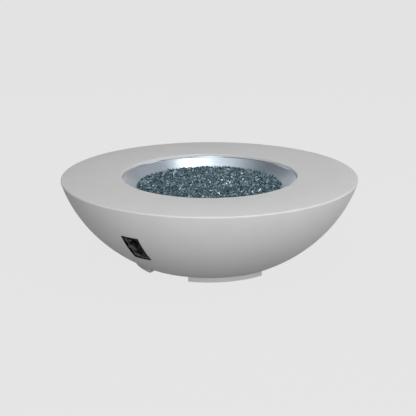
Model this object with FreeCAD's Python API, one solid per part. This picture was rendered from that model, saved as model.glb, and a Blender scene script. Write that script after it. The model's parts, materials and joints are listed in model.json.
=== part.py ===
"""Round gas fire bowl with a drop-in burner pan and a control panel let into its side.

Millimetres. Z is up, the origin is on the ground under the middle of the bowl, and the panel faces -Y.
The panel, the valve and the igniter are modelled in the panel's own frame and then turned into place:
x across, y up the slope, z out of the bowl, with z = 0 on the bowl's surface.
"""

import FreeCAD, Part
import math
import os

# ---- driving dimensions: bowl -------------------------------------------------------------------------
BOWL_HEIGHT = 315.0
SHAPE_HALF_WIDTH = 552.5                # the outside is part of an ellipse turned about Z,
SHAPE_HALF_HEIGHT = 487.4               # which makes a rim about 1066 mm (42 inches) across
SHAPE_MIDDLE_Z = 438.9
WALL = 18.0
RIM_THICK = 26.0
RIM_ROUND = 4.5
OPENING_RADIUS = 315.5
OPENING_ROUND = 3.5
REBATE_DEPTH = 12.5                     # from the rim's top to the ledge that carries the pan
REBATE_WIDTH = 9.0
THROAT_SPLAY = 16.0                     # below the ledge the hole slopes in by this much, at 45 degrees
ACCESS_RADIUS = 190.0                   # hole in the underside

FOOT_HEIGHT = 21.5
FOOT_OUTER = 279.0
FOOT_INNER = 215.0
FOOT_SLOT = 161.0                       # clear width between two feet
PAD_THICK = 3.0
PAD_PROUD = 1.5                         # how far the rubber stands below the foot
PAD_GAP = 0.4
PAD_RADII = (236.0, 262.0)
PAD_HALF_ANGLE = 21.0

# ---- driving dimensions: pan, glass and burner --------------------------------------------------------
SHEET = 1.5                             # pan metal
DISH_FLOOR_Z = 230.0
DISH_FLOOR_R = 217.0
DISH_KNEE_R = 233.5                     # the steep lower wall meets the shallow upper one here
DISH_WALL_SLOPE = 33.0                  # degrees from level, of the upper wall
DISH_WALL_R = 304.0                     # the upper wall ends in a flat lip here
DISH_BENDS = ((12.0, 1), (20.0, -1), (4.0, -1))     # radius on the upper side; 1 turns up, -1 turns down
LIP_R = 312.6
LIP_HEM = 1.6                           # radius of the lip's rolled edge
LIP_GAP = 0.2                           # the lip's underside above the ledge
LIP_Z = BOWL_HEIGHT - REBATE_DEPTH + LIP_GAP + SHEET
DRAIN_COUNT = 6
DRAIN_R = 5.0
DRAIN_CIRCLE = 195.0

GLASS_EDGE_R = 263.5
GLASS_DOME_R = GLASS_EDGE_R - 3.0       # where the domed top starts
GLASS_CROWN = 8.0                       # how far the packed bed's middle stands above its edge
GLASS_GAP = 0.3
NOOK = (24.0, 56.0, 40.0)               # room in the glass round the ignition parts
BED_SIDES = 24                          # flat faces round the packed bed, under the pieces
BED_RINGS = (1.0, 0.8, 0.55, 0.28)      # corners of those faces, as shares of the bed's radius
LUMP_COUNT = 470                        # the larger pieces of the bed's top layer
LUMP_SIZE = (16.0, 13.0, 9.0)
LUMP_SINK = 2.5                         # a piece's middle below the packed bed's surface
LUMP_TILT = 34.0                        # degrees, the most a piece leans
LUMP_MARGIN = 25.0                      # from the bed's edge to the outermost piece's middle

RING_R = 150.0
RING_TUBE = 9.5
RING_WALL = 1.2
RING_Z = 247.0
BAR_R = 8.0
HUB_R = 20.0
HUB_HALF = 11.0
HUB_WALL = 4.0
PORT_COUNT = 24
PORT_R = 1.3

PIPE_R = 10.65                          # half-inch pipe
PIPE_BORE = 7.9
PIPE_TOP = RING_Z - 5.5
ELBOW_R = 14.0
ELBOW_BAND_R = 16.0
ELBOW_REACH = 24.0
ELBOW_SOCKET = 11.0                     # from the elbow's middle to the end of a pipe in it
WASHER_R = 17.0
WASHER_THICK = (1.0, 1.2)               # above the pan's floor, and below it
LOCKNUT_ACROSS = 28.0
LOCKNUT_THICK = (4.0, 6.0)

MIXER_Z = 188.0
MIXER_R = 11.0
WINDOW_WIDTH = 6.5
WINDOW_START = 70.0                     # the air windows, from the bowl's axis
WINDOW_END = 86.0
SHUTTER_R = 12.6
JET_END = 120.0

IGNITION_CIRCLE = 175.0                 # electrode and thermocouple stand on this circle
IGNITION_ANGLE = -75.0
IGNITION_SPREAD = 4.3
IGNITION_SCREW_STEP = 4.5
CERAMIC_HOLE_R = 3.55
PROBE_R = 2.25
PROBE_CLEAR_R = 4.4                     # the pan's holes round the two probes
IGNITION_SCREW_R = 1.5

# ---- driving dimensions: panel, valve and igniter -----------------------------------------------------
PANEL_TILT = 38.34                      # the panel's normal dips this far below level
PANEL_Z = 159.75
PANEL_Y = -SHAPE_HALF_WIDTH * math.sqrt(1 - ((PANEL_Z - SHAPE_MIDDLE_Z) / SHAPE_HALF_HEIGHT) ** 2)
PANEL_WIDTH = 66.4
PANEL_HEIGHT = 120.9
FLANGE = 2.4                            # overlap of the frame on the bowl, each side
FRAME_PROUD = 1.6
FRAME_WALL = 2.0
FRAME_DEPTH = 24.0
CUT_OUT_GAP = 0.3
CUT_OUT_REACH = (-40.0, 20.0)           # levels between which the bowl is cut away
PLATE_FACE = -5.0
PLATE_THICK = 2.0
PLATE_BACK = PLATE_FACE - PLATE_THICK
PLATE_GAP = 0.3
PLATE_LEDGE = 3.0
SCREW_INSET = 4.6                       # panel screws, from the plate's edges
KNOB_V = 21.0                           # knob and igniter centres, up the panel's slope
IGNITER_V = -26.0

KNOB_R = 17.5
KNOB_TOP = 8.0
KNOB_TRAVEL = 3.0
KNOB_FLUTES = 18
STEM_R = 3.0
STEM_FLAT = 2.3                         # from the stem's axis to its flat
TONGUE_HALF = 1.2
BONNET_TOP = -7.0
BONNET_PLATE = -10.0                    # underside of the bonnet's flange
BONNET_BORE = 5.0
VALVE_SCREW_X = 14.5
NECK_R = 13.0
PORT_LEVEL = -36.0                      # gas ports of the valve
GAS_BORE = 3.5
TAPER_TOP = (-25.0, 8.0)                # level and radius of the plug's two ends
TAPER_LOW = (-46.0, 6.8)
BODY_LOW = -50.0

BUTTON_R = 6.9
BUTTON_TOP = 5.4
BUTTON_FLANGE_R = 8.3
BARREL_R = 9.7
BARREL_BORE = 8.7
BARREL_SHOULDER = -8.5                  # the contact disc rests here
BARREL_LOW = -69.0
BATTERY_R = 7.1
BATTERY_LENGTH = 50.5
BATTERY_TOP = -10.6
CAP_NOTCHES = 16

# ---- driving dimensions: lines and inlet --------------------------------------------------------------
HOSE_R = 5.0
HOSE_BORE_R = HOSE_R + 0.1
LEAD_R = 1.5
WIRE_R = 2.0
MALE_R = 6.5                            # threaded ends that the hose nuts grip
NUT_GRIP = 10.0
VALVE_INLET_X = 31.0
INLET_X = 31.0
INLET_Z = 78.0
INLET_PLATE_Y = -206.0
INLET_PLATE = 3.0
INLET_SCREW_X = 14.0
FLARE_R = 7.94                          # 5/8 inch male flare thread
BULKHEAD_R = 8.6

RUNNING = 0.05                          # radial play of what turns in a bore
PAST = 5.0                              # how far a cutter runs past the face that it cuts
COIL_STEPS = 12                         # straight lengths in one turn of a spring
GOLDEN = (math.sqrt(5) - 1) / 2         # steps by this part of a turn never repeat
SHUFFLE = 4391.7                        # large enough to scatter the shares that a sine gives
X_AXIS = FreeCAD.Vector(1, 0, 0)
Y_AXIS = FreeCAD.Vector(0, 1, 0)
Z_AXIS = FreeCAD.Vector(0, 0, 1)
ORIGIN = FreeCAD.Vector(0, 0, 0)
ON_PANEL = FreeCAD.Placement(
    FreeCAD.Vector(0, PANEL_Y, PANEL_Z), FreeCAD.Rotation(X_AXIS, 90 + PANEL_TILT)
)


# ---- helpers ------------------------------------------------------------------------------------------
def vec(x, y, z=0.0):
    return FreeCAD.Vector(x, y, z)


def save(name, shape):
    """Write one node; a list becomes a compound of separate solids."""
    if isinstance(shape, list):
        shape = Part.makeCompound(shape)
    bad = [s for s in shape.Solids if not s.isValid() or s.Volume <= 0]
    if bad or not shape.Solids:
        raise RuntimeError(name + ": not a valid solid")
    shape.exportStep(os.path.join("parts", name + ".step"))


def polar(radius, degrees):
    """Point on a circle about the origin."""
    angle = math.radians(degrees)
    return (radius * math.cos(angle), radius * math.sin(angle))


def circle_places(radius, count, start=0.0):
    """Even places round a circle."""
    return [polar(radius, start + 360 * i / count) for i in range(count)]


def cylinder(radius, z0, z1, x=0.0, y=0.0):
    return Part.makeCylinder(radius, z1 - z0, vec(x, y, z0))


def rod_x(radius, x0, x1, z):
    """Cylinder along X at a height."""
    return Part.makeCylinder(radius, x1 - x0, vec(x0, 0, z), X_AXIS)


def tube(outer, inner, z0, z1, x=0.0, y=0.0):
    return cylinder(outer, z0, z1, x, y).cut(cylinder(inner, z0 - PAST, z1 + PAST, x, y))


def cone(r0, r1, z0, z1, x=0.0, y=0.0):
    return Part.makeCone(r0, r1, z1 - z0, vec(x, y, z0))


def block(x0, x1, y0, y1, z0, z1):
    return Part.makeBox(x1 - x0, y1 - y0, z1 - z0, vec(x0, y0, z0))


def drilled(shape, radius, z0, z1, places):
    """The shape with upright holes at (x, y) places."""
    for x, y in places:
        shape = shape.cut(cylinder(radius, z0 - PAST, z1 + PAST, x, y))
    return shape


def hexagon(across, z0, z1):
    """A nut blank with its corners turned down."""
    radius = across / math.sqrt(3)
    corners = [vec(*polar(radius, 60 * i), z0) for i in range(7)]
    prism = Part.Face(Part.makePolygon(corners)).extrude(vec(0, 0, z1 - z0))
    return prism.common(cylinder(0.96 * radius, z0, z1))


def nut(across, bore, z0, z1):
    return hexagon(across, z0, z1).cut(cylinder(bore, z0 - PAST, z1 + PAST))


def screw(head_r, head_high, shank_r, shank_low, seat, x, y, rounding=0.0):
    """Pan-head screw that sits on a seat."""
    head = cylinder(head_r, seat, seat + head_high, x, y)
    if rounding:
        head = head.makeFillet(rounding, [e for e in head.Edges if e.BoundBox.ZMin > seat + head_high / 2])
    return head.fuse(cylinder(shank_r, shank_low, seat, x, y))


def cap_ball(radius, rise):
    """Radius of the ball that a spherical cap is cut from."""
    return (radius ** 2 + rise ** 2) / (2 * rise)


def dome(radius, z_edge, z_top):
    """Profile step: a spherical cap from a radius up (or down) to the axis."""
    ball = cap_ball(radius, z_top - z_edge)
    via = z_top - ball + math.copysign(math.sqrt(ball ** 2 - radius ** 2 / 4), ball)
    return ((radius / 2, via), (0, z_top))


def profile(start, *steps):
    """Closed wire in the XZ plane from (r, z) points; a pair of points is an arc through the first."""
    edges = []
    here = vec(start[0], 0, start[1])
    for step in steps + (start,):
        if isinstance(step[0], tuple):
            via, end = [vec(r, 0, z) for r, z in step]
            edges.append(Part.Arc(here, via, end).toShape())
            here = end
            continue
        end = vec(step[0], 0, step[1])
        if here.distanceToPoint(end) > 1e-6:
            edges.append(Part.LineSegment(here, end).toShape())
            here = end
    return Part.Wire(edges)


def lathe(start, *steps):
    """Solid of revolution about Z."""
    return Part.Face(profile(start, *steps)).revolve(ORIGIN, Z_AXIS, 360)


def rounded(width, height, corner, z0, z1, x=0.0, y=0.0):
    """Upright block with rounded corners, centred on x, y."""
    solid = block(x - width / 2, x + width / 2, y - height / 2, y + height / 2, z0, z1)
    upright = [e for e in solid.Edges if abs(e.tangentAt(e.FirstParameter).z) > 0.99]
    return solid.makeFillet(corner, upright)


def pipe_along(points, radius, name):
    """Round bar along straight runs joined by arcs, each as large as its two runs allow."""
    points = [vec(*p) for p in points]
    edges = []
    radii = []
    here = points[0]
    for before, corner, after in zip(points, points[1:], points[2:]):
        into = corner - before
        out = after - corner
        half_turn = into.getAngle(out) / 2
        reach = 0.45 * min(into.Length, out.Length)
        radii.append(reach / math.tan(half_turn))
        into.normalize()
        out.normalize()
        start = corner - into * reach
        end = corner + out * reach
        inward = (start + end) * 0.5 - corner
        far = inward.Length - radii[-1] * (1 - math.cos(half_turn))
        inward.normalize()
        edges.append(Part.LineSegment(here, start).toShape())
        edges.append(Part.Arc(start, corner + inward * far, end).toShape())
        here = end
    edges.append(Part.LineSegment(here, points[-1]).toShape())
    path = Part.Wire(edges)
    section = Part.Wire(Part.makeCircle(radius, points[0], points[1] - points[0]))
    bar = path.makePipeShell([section], True, True)
    share = bar.Volume / (math.pi * radius ** 2 * path.Length)
    print(f"{name}: length {path.Length:.0f}, radii {[round(r) for r in radii]}, volume {share:.3f}")
    return bar


def coil(radius, wire, z0, z1, turns):
    """Compression spring between two levels: short straight lengths of eight-sided wire, mitred."""
    middle = radius - wire
    steps = round(turns * COIL_STEPS)
    rise = (z1 - z0 - 2 * wire) / steps
    points = []
    for i in range(steps + 1):
        points.append(vec(*polar(middle, 360 * i / COIL_STEPS), z0 + wire + rise * i))
    along = points[1] - points[0]
    up = along.cross(X_AXIS).normalize()
    side = up.cross(along).normalize()
    corners = []
    for i in range(9):
        across, high = polar(wire, 45 * (i + 0.5))
        corners.append(points[0] + side * across + up * high)
    return Part.makePolygon(points).makePipeShell([Part.makePolygon(corners)], True, False, 1)


def from_panel(x, y, z):
    """Panel frame to bowl frame."""
    point = ON_PANEL.multVec(vec(x, y, z))
    return (point.x, point.y, point.z)


def on_panel(shape):
    if isinstance(shape, list):
        return [on_panel(s) for s in shape]
    moved = shape.copy()
    moved.Placement = ON_PANEL.multiply(moved.Placement)
    return moved


def save_on_panel(name, shape, up_slope):
    """Write a node that was modelled about an axis of the panel."""
    save(name, on_panel(shape.translated(vec(0, up_slope, 0))))


def along_y(shape, x, z):
    """Turn a shape modelled along +Z so that its axis runs along -Y at x, z."""
    moved = shape.copy()
    turned = FreeCAD.Placement(vec(x, 0, z), FreeCAD.Rotation(X_AXIS, 90))
    moved.Placement = turned.multiply(moved.Placement)
    return moved


# ---- bowl ---------------------------------------------------------------------------------------------
def shape_radius(z, inset=0.0):
    """Radius of the bowl's surface at a height, or of one set in from it."""
    lift = (z - SHAPE_MIDDLE_Z) / (SHAPE_HALF_HEIGHT - inset)
    return (SHAPE_HALF_WIDTH - inset) * math.sqrt(1 - lift ** 2)


def shape_arc(z_from, z_to, inset):
    """The bowl's curve between two heights, as an edge in the XZ plane."""
    side = vec(SHAPE_HALF_WIDTH - inset, 0, SHAPE_MIDDLE_Z)
    bottom = vec(0, 0, SHAPE_MIDDLE_Z - SHAPE_HALF_HEIGHT + inset)
    curve = Part.Ellipse(side, bottom, vec(0, 0, SHAPE_MIDDLE_Z))
    ends = [curve.parameter(vec(shape_radius(z, inset), 0, z)) for z in (z_from, z_to)]
    return Part.ArcOfEllipse(curve, min(ends), max(ends)).toShape()


def solid_to_shape(inset, z_low, z_high):
    """Everything inside the bowl's surface set in by a distance, between two heights."""
    low = vec(shape_radius(z_low, inset), 0, z_low)
    high = vec(shape_radius(z_high, inset), 0, z_high)
    axis_low = vec(0, 0, z_low)
    axis_high = vec(0, 0, z_high)
    edges = [shape_arc(z_low, z_high, inset)]
    for start, end in ((high, axis_high), (axis_high, axis_low), (axis_low, low)):
        edges.append(Part.LineSegment(start, end).toShape())
    return Part.Face(Part.Wire(Part.__sortEdges__(edges))).revolve(ORIGIN, Z_AXIS, 360)


def opening_cutter():
    """The round opening with its eased edge, the rebate and the slope that clears the pan."""
    top = BOWL_HEIGHT
    ledge = top - REBATE_DEPTH
    under = top - RIM_THICK - PAST
    throat = OPENING_RADIUS - REBATE_WIDTH
    narrow = throat - THROAT_SPLAY
    outer = OPENING_RADIUS + OPENING_ROUND
    lean = OPENING_ROUND * (1 - math.sqrt(0.5))
    return lathe(
        (0, top + PAST), (0, under), (narrow, under), (narrow, ledge - THROAT_SPLAY), (throat, ledge),
        (OPENING_RADIUS, ledge), (OPENING_RADIUS, top - OPENING_ROUND),
        ((OPENING_RADIUS + lean, top - lean), (outer, top)), (outer, top + PAST),
    )


def feet():
    """Four low arcs, parted by two straight slots that cross under the middle."""
    into_bowl = 2.0
    ring = tube(FOOT_OUTER, FOOT_INNER, PAD_PROUD, FOOT_HEIGHT + into_bowl)
    half = FOOT_SLOT / 2
    reach = FOOT_OUTER + PAST
    high = FOOT_HEIGHT + PAST
    for slot in (block(-reach, reach, -half, half, 0, high), block(-half, half, -reach, reach, 0, high)):
        ring = ring.cut(slot)
    return ring


def pad_arcs(grow=0.0):
    """Arc-shaped pads under the feet, or the recesses they sit in."""
    inner = PAD_RADII[0] - grow
    outer = PAD_RADII[1] + grow
    spread = PAD_HALF_ANGLE + math.degrees(grow / PAD_RADII[1])
    arcs = []
    for quarter in range(4):
        section = Part.Face(profile((inner, 0), (outer, 0), (outer, PAD_THICK), (inner, PAD_THICK)))
        arc = section.revolve(ORIGIN, Z_AXIS, 2 * spread)
        arc.rotate(ORIGIN, Z_AXIS, 45 + 90 * quarter - spread)
        arcs.append(arc)
    return arcs


def bowl_shell():
    """Hollow casting: curved side, flat rim with the pan's rebate, feet, and the panel's cut-out."""
    floor_top = FOOT_HEIGHT + WALL
    rim_low = BOWL_HEIGHT - RIM_THICK
    anchor_r = 2.6
    anchor_depth = 12.0
    shell = solid_to_shape(0, FOOT_HEIGHT, BOWL_HEIGHT).cut(solid_to_shape(WALL, floor_top, rim_low))
    rim_edge = [e for e in shell.Edges if e.BoundBox.ZMin > BOWL_HEIGHT - 0.01]
    shell = shell.makeFillet(RIM_ROUND, rim_edge)
    shell = shell.cut(opening_cutter())
    shell = shell.cut(cylinder(ACCESS_RADIUS, 0, floor_top + PAST))
    shell = shell.fuse(feet())
    for recess in pad_arcs(PAD_GAP):
        shell = shell.cut(recess)
    width = PANEL_WIDTH - 2 * (FLANGE - CUT_OUT_GAP)
    height = PANEL_HEIGHT - 2 * (FLANGE - CUT_OUT_GAP)
    shell = shell.cut(on_panel(rounded(width, height, 3, *CUT_OUT_REACH)))
    for x, y in bracket_screw_places():
        shell = shell.cut(cylinder(anchor_r, floor_top - anchor_depth, floor_top + PAST, x, y))
    return shell


# ---- burner pan and glass -----------------------------------------------------------------------------
def wall_height(radius):
    """Height of the pan's upper wall at a radius."""
    return LIP_Z - (DISH_WALL_R - radius) * math.tan(math.radians(DISH_WALL_SLOPE))


def pan_corners(lift):
    """Corners of the pan's section, from the axis out, moved square to the sheet by a distance."""
    knee_z = wall_height(DISH_KNEE_R)
    section = (
        (0, DISH_FLOOR_Z), (DISH_FLOOR_R, DISH_FLOOR_Z), (DISH_KNEE_R, knee_z), (DISH_WALL_R, LIP_Z),
        (LIP_R, LIP_Z),
    )
    corners = [vec(r, 0, z) for r, z in section]
    squares = []
    for start, end in zip(corners, corners[1:]):
        along = (end - start).normalize()
        squares.append(vec(-along.z, 0, along.x))
    moved = [corners[0] + squares[0] * lift]
    for corner, before, after in zip(corners[1:], squares, squares[1:]):
        moved.append(corner + (before + after) * (lift / (1 + before.dot(after))))
    return moved + [corners[-1] + squares[-1] * lift]


def pan_line(lift, inwards=False):
    """Profile steps along that section, bends and all, from the axis out or from the lip in."""
    corners = pan_corners(lift)
    radii = [bend - turn * lift for bend, turn in DISH_BENDS]
    if inwards:
        corners.reverse()
        radii.reverse()
    steps = [(corners[0].x, corners[0].z)]
    for before, corner, after, radius in zip(corners, corners[1:], corners[2:], radii):
        into = (corner - before).normalize()
        out = (after - corner).normalize()
        half_turn = into.getAngle(out) / 2
        reach = radius * math.tan(half_turn)
        start = corner - into * reach
        middle = corner + (out - into).normalize() * (radius / math.cos(half_turn) - radius)
        end = corner + out * reach
        steps += [(start.x, start.z), ((middle.x, middle.z), (end.x, end.z))]
    return steps + [(corners[-1].x, corners[-1].z)]


def fire_dish():
    """Spun pan: floor, steep and shallow wall, and a flat lip with a rolled edge that lies on the ledge."""
    lower = DISH_FLOOR_Z - SHEET
    pan = lathe(*pan_line(0), *pan_line(-SHEET, inwards=True))
    pan = pan.fuse(Part.makeTorus(LIP_R, LIP_HEM, vec(0, 0, LIP_Z - SHEET + LIP_HEM)))
    pan = drilled(pan, PIPE_R + 0.5, lower, DISH_FLOOR_Z, [(0, 0)])
    pan = drilled(pan, PROBE_CLEAR_R, lower, DISH_FLOOR_Z, ignition_places())
    pan = drilled(pan, IGNITION_SCREW_R + 0.1, lower, DISH_FLOOR_Z, ignition_screw_places())
    return drilled(pan, DRAIN_R, lower, DISH_FLOOR_Z, circle_places(DRAIN_CIRCLE, DRAIN_COUNT))


def polyhedron(faces):
    """Solid from flat faces, each a list of corners in order."""
    shell = Part.Shell([Part.Face(Part.makePolygon(corners + corners[:1])) for corners in faces])
    solid = Part.Solid(shell)
    if solid.Volume < 0:
        solid.reverse()
    return solid


def bed_height(radius, rise):
    """Height of the bed's domed top above its edge, at a radius."""
    ball = cap_ball(GLASS_DOME_R, rise)
    return rise - ball + math.sqrt(ball ** 2 - radius ** 2)


def packed_dome(edge_z, rise):
    """The packed bed's domed top in flat faces."""
    sunk = vec(0, 0, -1)
    rings = []
    for share in BED_RINGS:
        radius = share * GLASS_DOME_R
        z = edge_z + bed_height(radius, rise)
        rings.append([vec(x, y, z) for x, y in circle_places(radius, BED_SIDES)])
    rings.insert(0, [corner + sunk for corner in rings[0]])
    faces = [rings[0]]
    top = vec(0, 0, edge_z + rise)
    for i in range(BED_SIDES):
        j = (i + 1) % BED_SIDES
        for ring, inner in zip(rings, rings[1:]):
            faces.append([ring[i], ring[j], inner[j], inner[i]])
        faces.append([rings[-1][i], rings[-1][j], top])
    return polyhedron(faces)


def shuffled(index, salt):
    """A share from 0 to 1 that looks random but is the same in every build."""
    return (SHUFFLE * math.sin(index + SHUFFLE * salt)) % 1.0


def glass_lump(index, middle):
    """One broken piece: a small uneven block turned its own way."""
    half = [side * (0.37 + 0.23 * shuffled(index, 4 + k)) for k, side in enumerate(LUMP_SIZE)]
    lump = block(-half[0], half[0], -half[1], half[1], -half[2], half[2])
    leans = [LUMP_TILT * (2 * shuffled(index, salt) - 1) for salt in (1, 2)]
    turn = FreeCAD.Rotation(360 * shuffled(index, 3), *leans)
    lump.Placement = FreeCAD.Placement(middle, turn).multiply(lump.Placement)
    return lump


def glass_lumps(edge_z, rise):
    """Pieces spread evenly over the domed bed by a golden-angle spiral."""
    lumps = []
    for i in range(LUMP_COUNT):
        radius = (GLASS_EDGE_R - LUMP_MARGIN) * math.sqrt((i + 0.5) / LUMP_COUNT)
        x, y = polar(radius, 360 * GOLDEN * i)
        lumps.append(glass_lump(i, vec(x, y, edge_z + bed_height(radius, rise) - LUMP_SINK)))
    return lumps


def fire_glass():
    """The bed of crushed glass, one solid with room for the burner and the ignition parts inside it."""
    wall_z = wall_height(GLASS_EDGE_R)
    edge_z = wall_z + 2.0
    axis, corner, knee = pan_corners(GLASS_GAP)[:3]
    past_bend = 8.0
    up_wall = (knee - corner).normalize() * past_bend
    bed = lathe(
        (0, axis.z), (corner.x - past_bend, corner.z), (corner.x + up_wall.x, corner.z + up_wall.z),
        (knee.x, knee.z), (GLASS_EDGE_R - 1, wall_z + GLASS_GAP), (GLASS_DOME_R, edge_z), (0, edge_z),
    )
    rise = GLASS_CROWN - 2.0
    bed = bed.fuse([packed_dome(edge_z, rise)] + glass_lumps(edge_z, rise))
    room = Part.makeTorus(RING_R, RING_TUBE + 1, vec(0, 0, RING_Z))
    room = room.fuse(crossbar(RING_TUBE))
    room = room.fuse(cylinder(HUB_R + 2, DISH_FLOOR_Z - 1, RING_Z + HUB_HALF + 2))
    deep, wide, high = NOOK
    nook = rounded(deep, wide, 3, DISH_FLOOR_Z - 1, DISH_FLOOR_Z + high, IGNITION_CIRCLE)
    nook.rotate(ORIGIN, Z_AXIS, IGNITION_ANGLE)
    return bed.cut(room.fuse(nook))


# ---- burner -------------------------------------------------------------------------------------------
def crossbar(radius):
    """Bar through the hub, its ends inside the ring's tube."""
    half = RING_R - 1
    return rod_x(radius, -half, half, RING_Z)


def burner_ring():
    """Hollow ring with a crossbar and hub, and a row of ports along its top."""
    middle = vec(0, 0, RING_Z)
    ring = Part.makeTorus(RING_R, RING_TUBE, middle)
    ring = ring.fuse(crossbar(BAR_R)).fuse(cylinder(HUB_R, RING_Z - HUB_HALF, RING_Z + HUB_HALF))
    ring = ring.cut(Part.makeTorus(RING_R, RING_TUBE - RING_WALL, middle)).cut(crossbar(BAR_R - RING_WALL))
    ring = ring.cut(cylinder(HUB_R - HUB_WALL, RING_Z - 5, RING_Z + 8))
    ring = ring.cut(cylinder(PIPE_R + RUNNING, RING_Z - HUB_HALF - 1, RING_Z - HUB_WALL))
    for x, y in circle_places(RING_R, PORT_COUNT, 180 / PORT_COUNT):
        ring = ring.cut(cylinder(PORT_R, RING_Z, RING_Z + RING_TUBE + PAST, x, y))
    return ring


def nipple_elbow():
    """Pipe elbow from the nipple above to the mixer beside it, with a band at each mouth."""
    bore = PIPE_R + RUNNING
    arm = cylinder(ELBOW_R, 0, ELBOW_REACH - 2).fuse(cylinder(ELBOW_BAND_R, 14, ELBOW_REACH))
    side_arm = cylinder(ELBOW_R, 0, ELBOW_REACH - 4).fuse(cylinder(ELBOW_BAND_R, 12, ELBOW_REACH))
    way = cylinder(PIPE_BORE, 0, ELBOW_REACH + PAST)
    socket = cylinder(bore, ELBOW_SOCKET - 0.1, ELBOW_REACH + PAST)
    side_socket = cylinder(bore, ELBOW_SOCKET, ELBOW_REACH + PAST)
    elbow = arm.fuse(along_y(side_arm, 0, 0)).fuse(Part.makeSphere(ELBOW_R))
    for cutter in (way, along_y(way, 0, 0), socket, along_y(side_socket, 0, 0), Part.makeSphere(PIPE_BORE)):
        elbow = elbow.cut(cutter)
    return elbow.translated(vec(0, 0, MIXER_Z))


def pipe_parts():
    """Nipple through the pan's floor with its locknuts and washers, and the elbow below."""
    bore = PIPE_R + RUNNING
    above = DISH_FLOOR_Z + WASHER_THICK[0]
    floor = DISH_FLOOR_Z - SHEET
    below = floor - WASHER_THICK[1]
    save("burner_nipple", tube(PIPE_R, PIPE_BORE, MIXER_Z + ELBOW_SOCKET, PIPE_TOP))
    save("dish_washers", [tube(WASHER_R, bore, DISH_FLOOR_Z, above), tube(WASHER_R, bore, below, floor)])
    save("dish_locknuts", [
        nut(LOCKNUT_ACROSS, bore, above, above + LOCKNUT_THICK[0]),
        nut(LOCKNUT_ACROSS, bore, below - LOCKNUT_THICK[1], below),
    ])
    save("nipple_elbow", nipple_elbow())


def air_windows(outer):
    """Four long windows through a wall."""
    half = WINDOW_WIDTH / 2
    cutters = []
    for i in range(4):
        window = block(MIXER_R - PAST, outer + PAST, -half, half, WINDOW_START, WINDOW_END)
        window.rotate(ORIGIN, Z_AXIS, 90 * i)
        cutters.append(window)
    return cutters


def mixer_parts():
    """Venturi with air windows, a turning shutter over them, and the jet in its end."""
    spigot = ELBOW_SOCKET + 0.5
    mouth = 99.0
    body = lathe(
        (PIPE_BORE - 0.4, spigot), (PIPE_R, spigot), (PIPE_R, 26), (14, 26), (14, 33), (MIXER_R, 35),
        (MIXER_R, 92), (13, 94), (13, mouth), (5.6, mouth), (5.6, 93), (8.5, 91), (8.5, 66),
        (5.2, 48), (5.2, 34),
    )
    shutter = tube(SHUTTER_R, MIXER_R + RUNNING, 66, 90).fuse(tube(14, MIXER_R + RUNNING, 62.5, 66))
    for cutter in air_windows(SHUTTER_R):
        body = body.cut(cutter)
        shutter = shutter.cut(cutter)
    jet = lathe(
        (0.6, 84), (2.2, 84), (4.4, 90), (5.55, 93.2), (5.55, mouth), (8.8, mouth), (8.8, 106),
        (MALE_R, 108), (MALE_R, JET_END), (GAS_BORE, JET_END), (GAS_BORE, 90), (0.6, 87.5),
    )
    for name, shape in (("air_mixer", body), ("air_shutter", shutter), ("gas_orifice", jet)):
        save(name, along_y(shape, 0, MIXER_Z))


# ---- ignition parts in the pan ------------------------------------------------------------------------
def ignition_place(offset_deg, radius=IGNITION_CIRCLE):
    return polar(radius, IGNITION_ANGLE + offset_deg)


def ignition_places():
    """Where the spark electrode and the thermocouple stand."""
    return [ignition_place(IGNITION_SPREAD), ignition_place(-IGNITION_SPREAD)]


def ignition_screw_places():
    return [ignition_place(0, IGNITION_CIRCLE + side * IGNITION_SCREW_STEP) for side in (1, -1)]


def ignition_bracket():
    """Foot on the pan's floor and a guard behind the two probes."""
    floor = DISH_FLOOR_Z
    outer = IGNITION_CIRCLE + 9
    foot = rounded(18, 46, 3, floor, floor + SHEET, IGNITION_CIRCLE)
    bracket = foot.fuse(block(outer - SHEET, outer, -18, 18, floor, floor + 30))
    bracket.rotate(ORIGIN, Z_AXIS, IGNITION_ANGLE)
    spark, sense = ignition_places()
    bracket = drilled(bracket, CERAMIC_HOLE_R, floor, floor, [spark])
    bracket = drilled(bracket, PROBE_R + RUNNING, floor, floor, [sense])
    return drilled(bracket, IGNITION_SCREW_R + 0.1, floor, floor, ignition_screw_places())


def collared(inner, radius, collar, low, *top):
    """Upright probe with a collar that stops it in the bracket's hole."""
    seat = DISH_FLOOR_Z + SHEET
    return lathe(
        (inner, low), (radius, low), (radius, seat), (collar, seat), (collar, seat + 2.5),
        (radius, seat + 2.5), *top
    )


def ignition_parts():
    """Bracket on the pan's floor that holds the spark electrode and the thermocouple by the ring."""
    floor = DISH_FLOOR_Z
    spark, sense = ignition_places()
    save("ignition_bracket", ignition_bracket())
    save("ignition_screws", [
        screw(2.8, 1.8, IGNITION_SCREW_R, floor - 6, floor + SHEET, *place)
        for place in ignition_screw_places()
    ])
    rod_r = 1.2
    ceramic_r = CERAMIC_HOLE_R - RUNNING
    ceramic = collared(
        rod_r + RUNNING, ceramic_r, 4.3, floor - 30, (ceramic_r, floor + 20), (rod_r + RUNNING, floor + 22)
    )
    save("electrode_ceramic", ceramic.translated(vec(*spark)))
    tip = ignition_place(IGNITION_SPREAD * 0.6, RING_R + RING_TUBE + 5)
    rod_route = [(*spark, floor - 33), (*spark, floor + 27), (*tip, floor + 33)]
    save("electrode_rod", pipe_along(rod_route, rod_r, "electrode rod"))
    tip_low = floor + 29
    probe = collared(0, PROBE_R, 3.2, floor - 25, (PROBE_R, tip_low), dome(PROBE_R, tip_low, tip_low + 2))
    save("thermocouple_tip", probe.translated(vec(*sense)))


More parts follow.
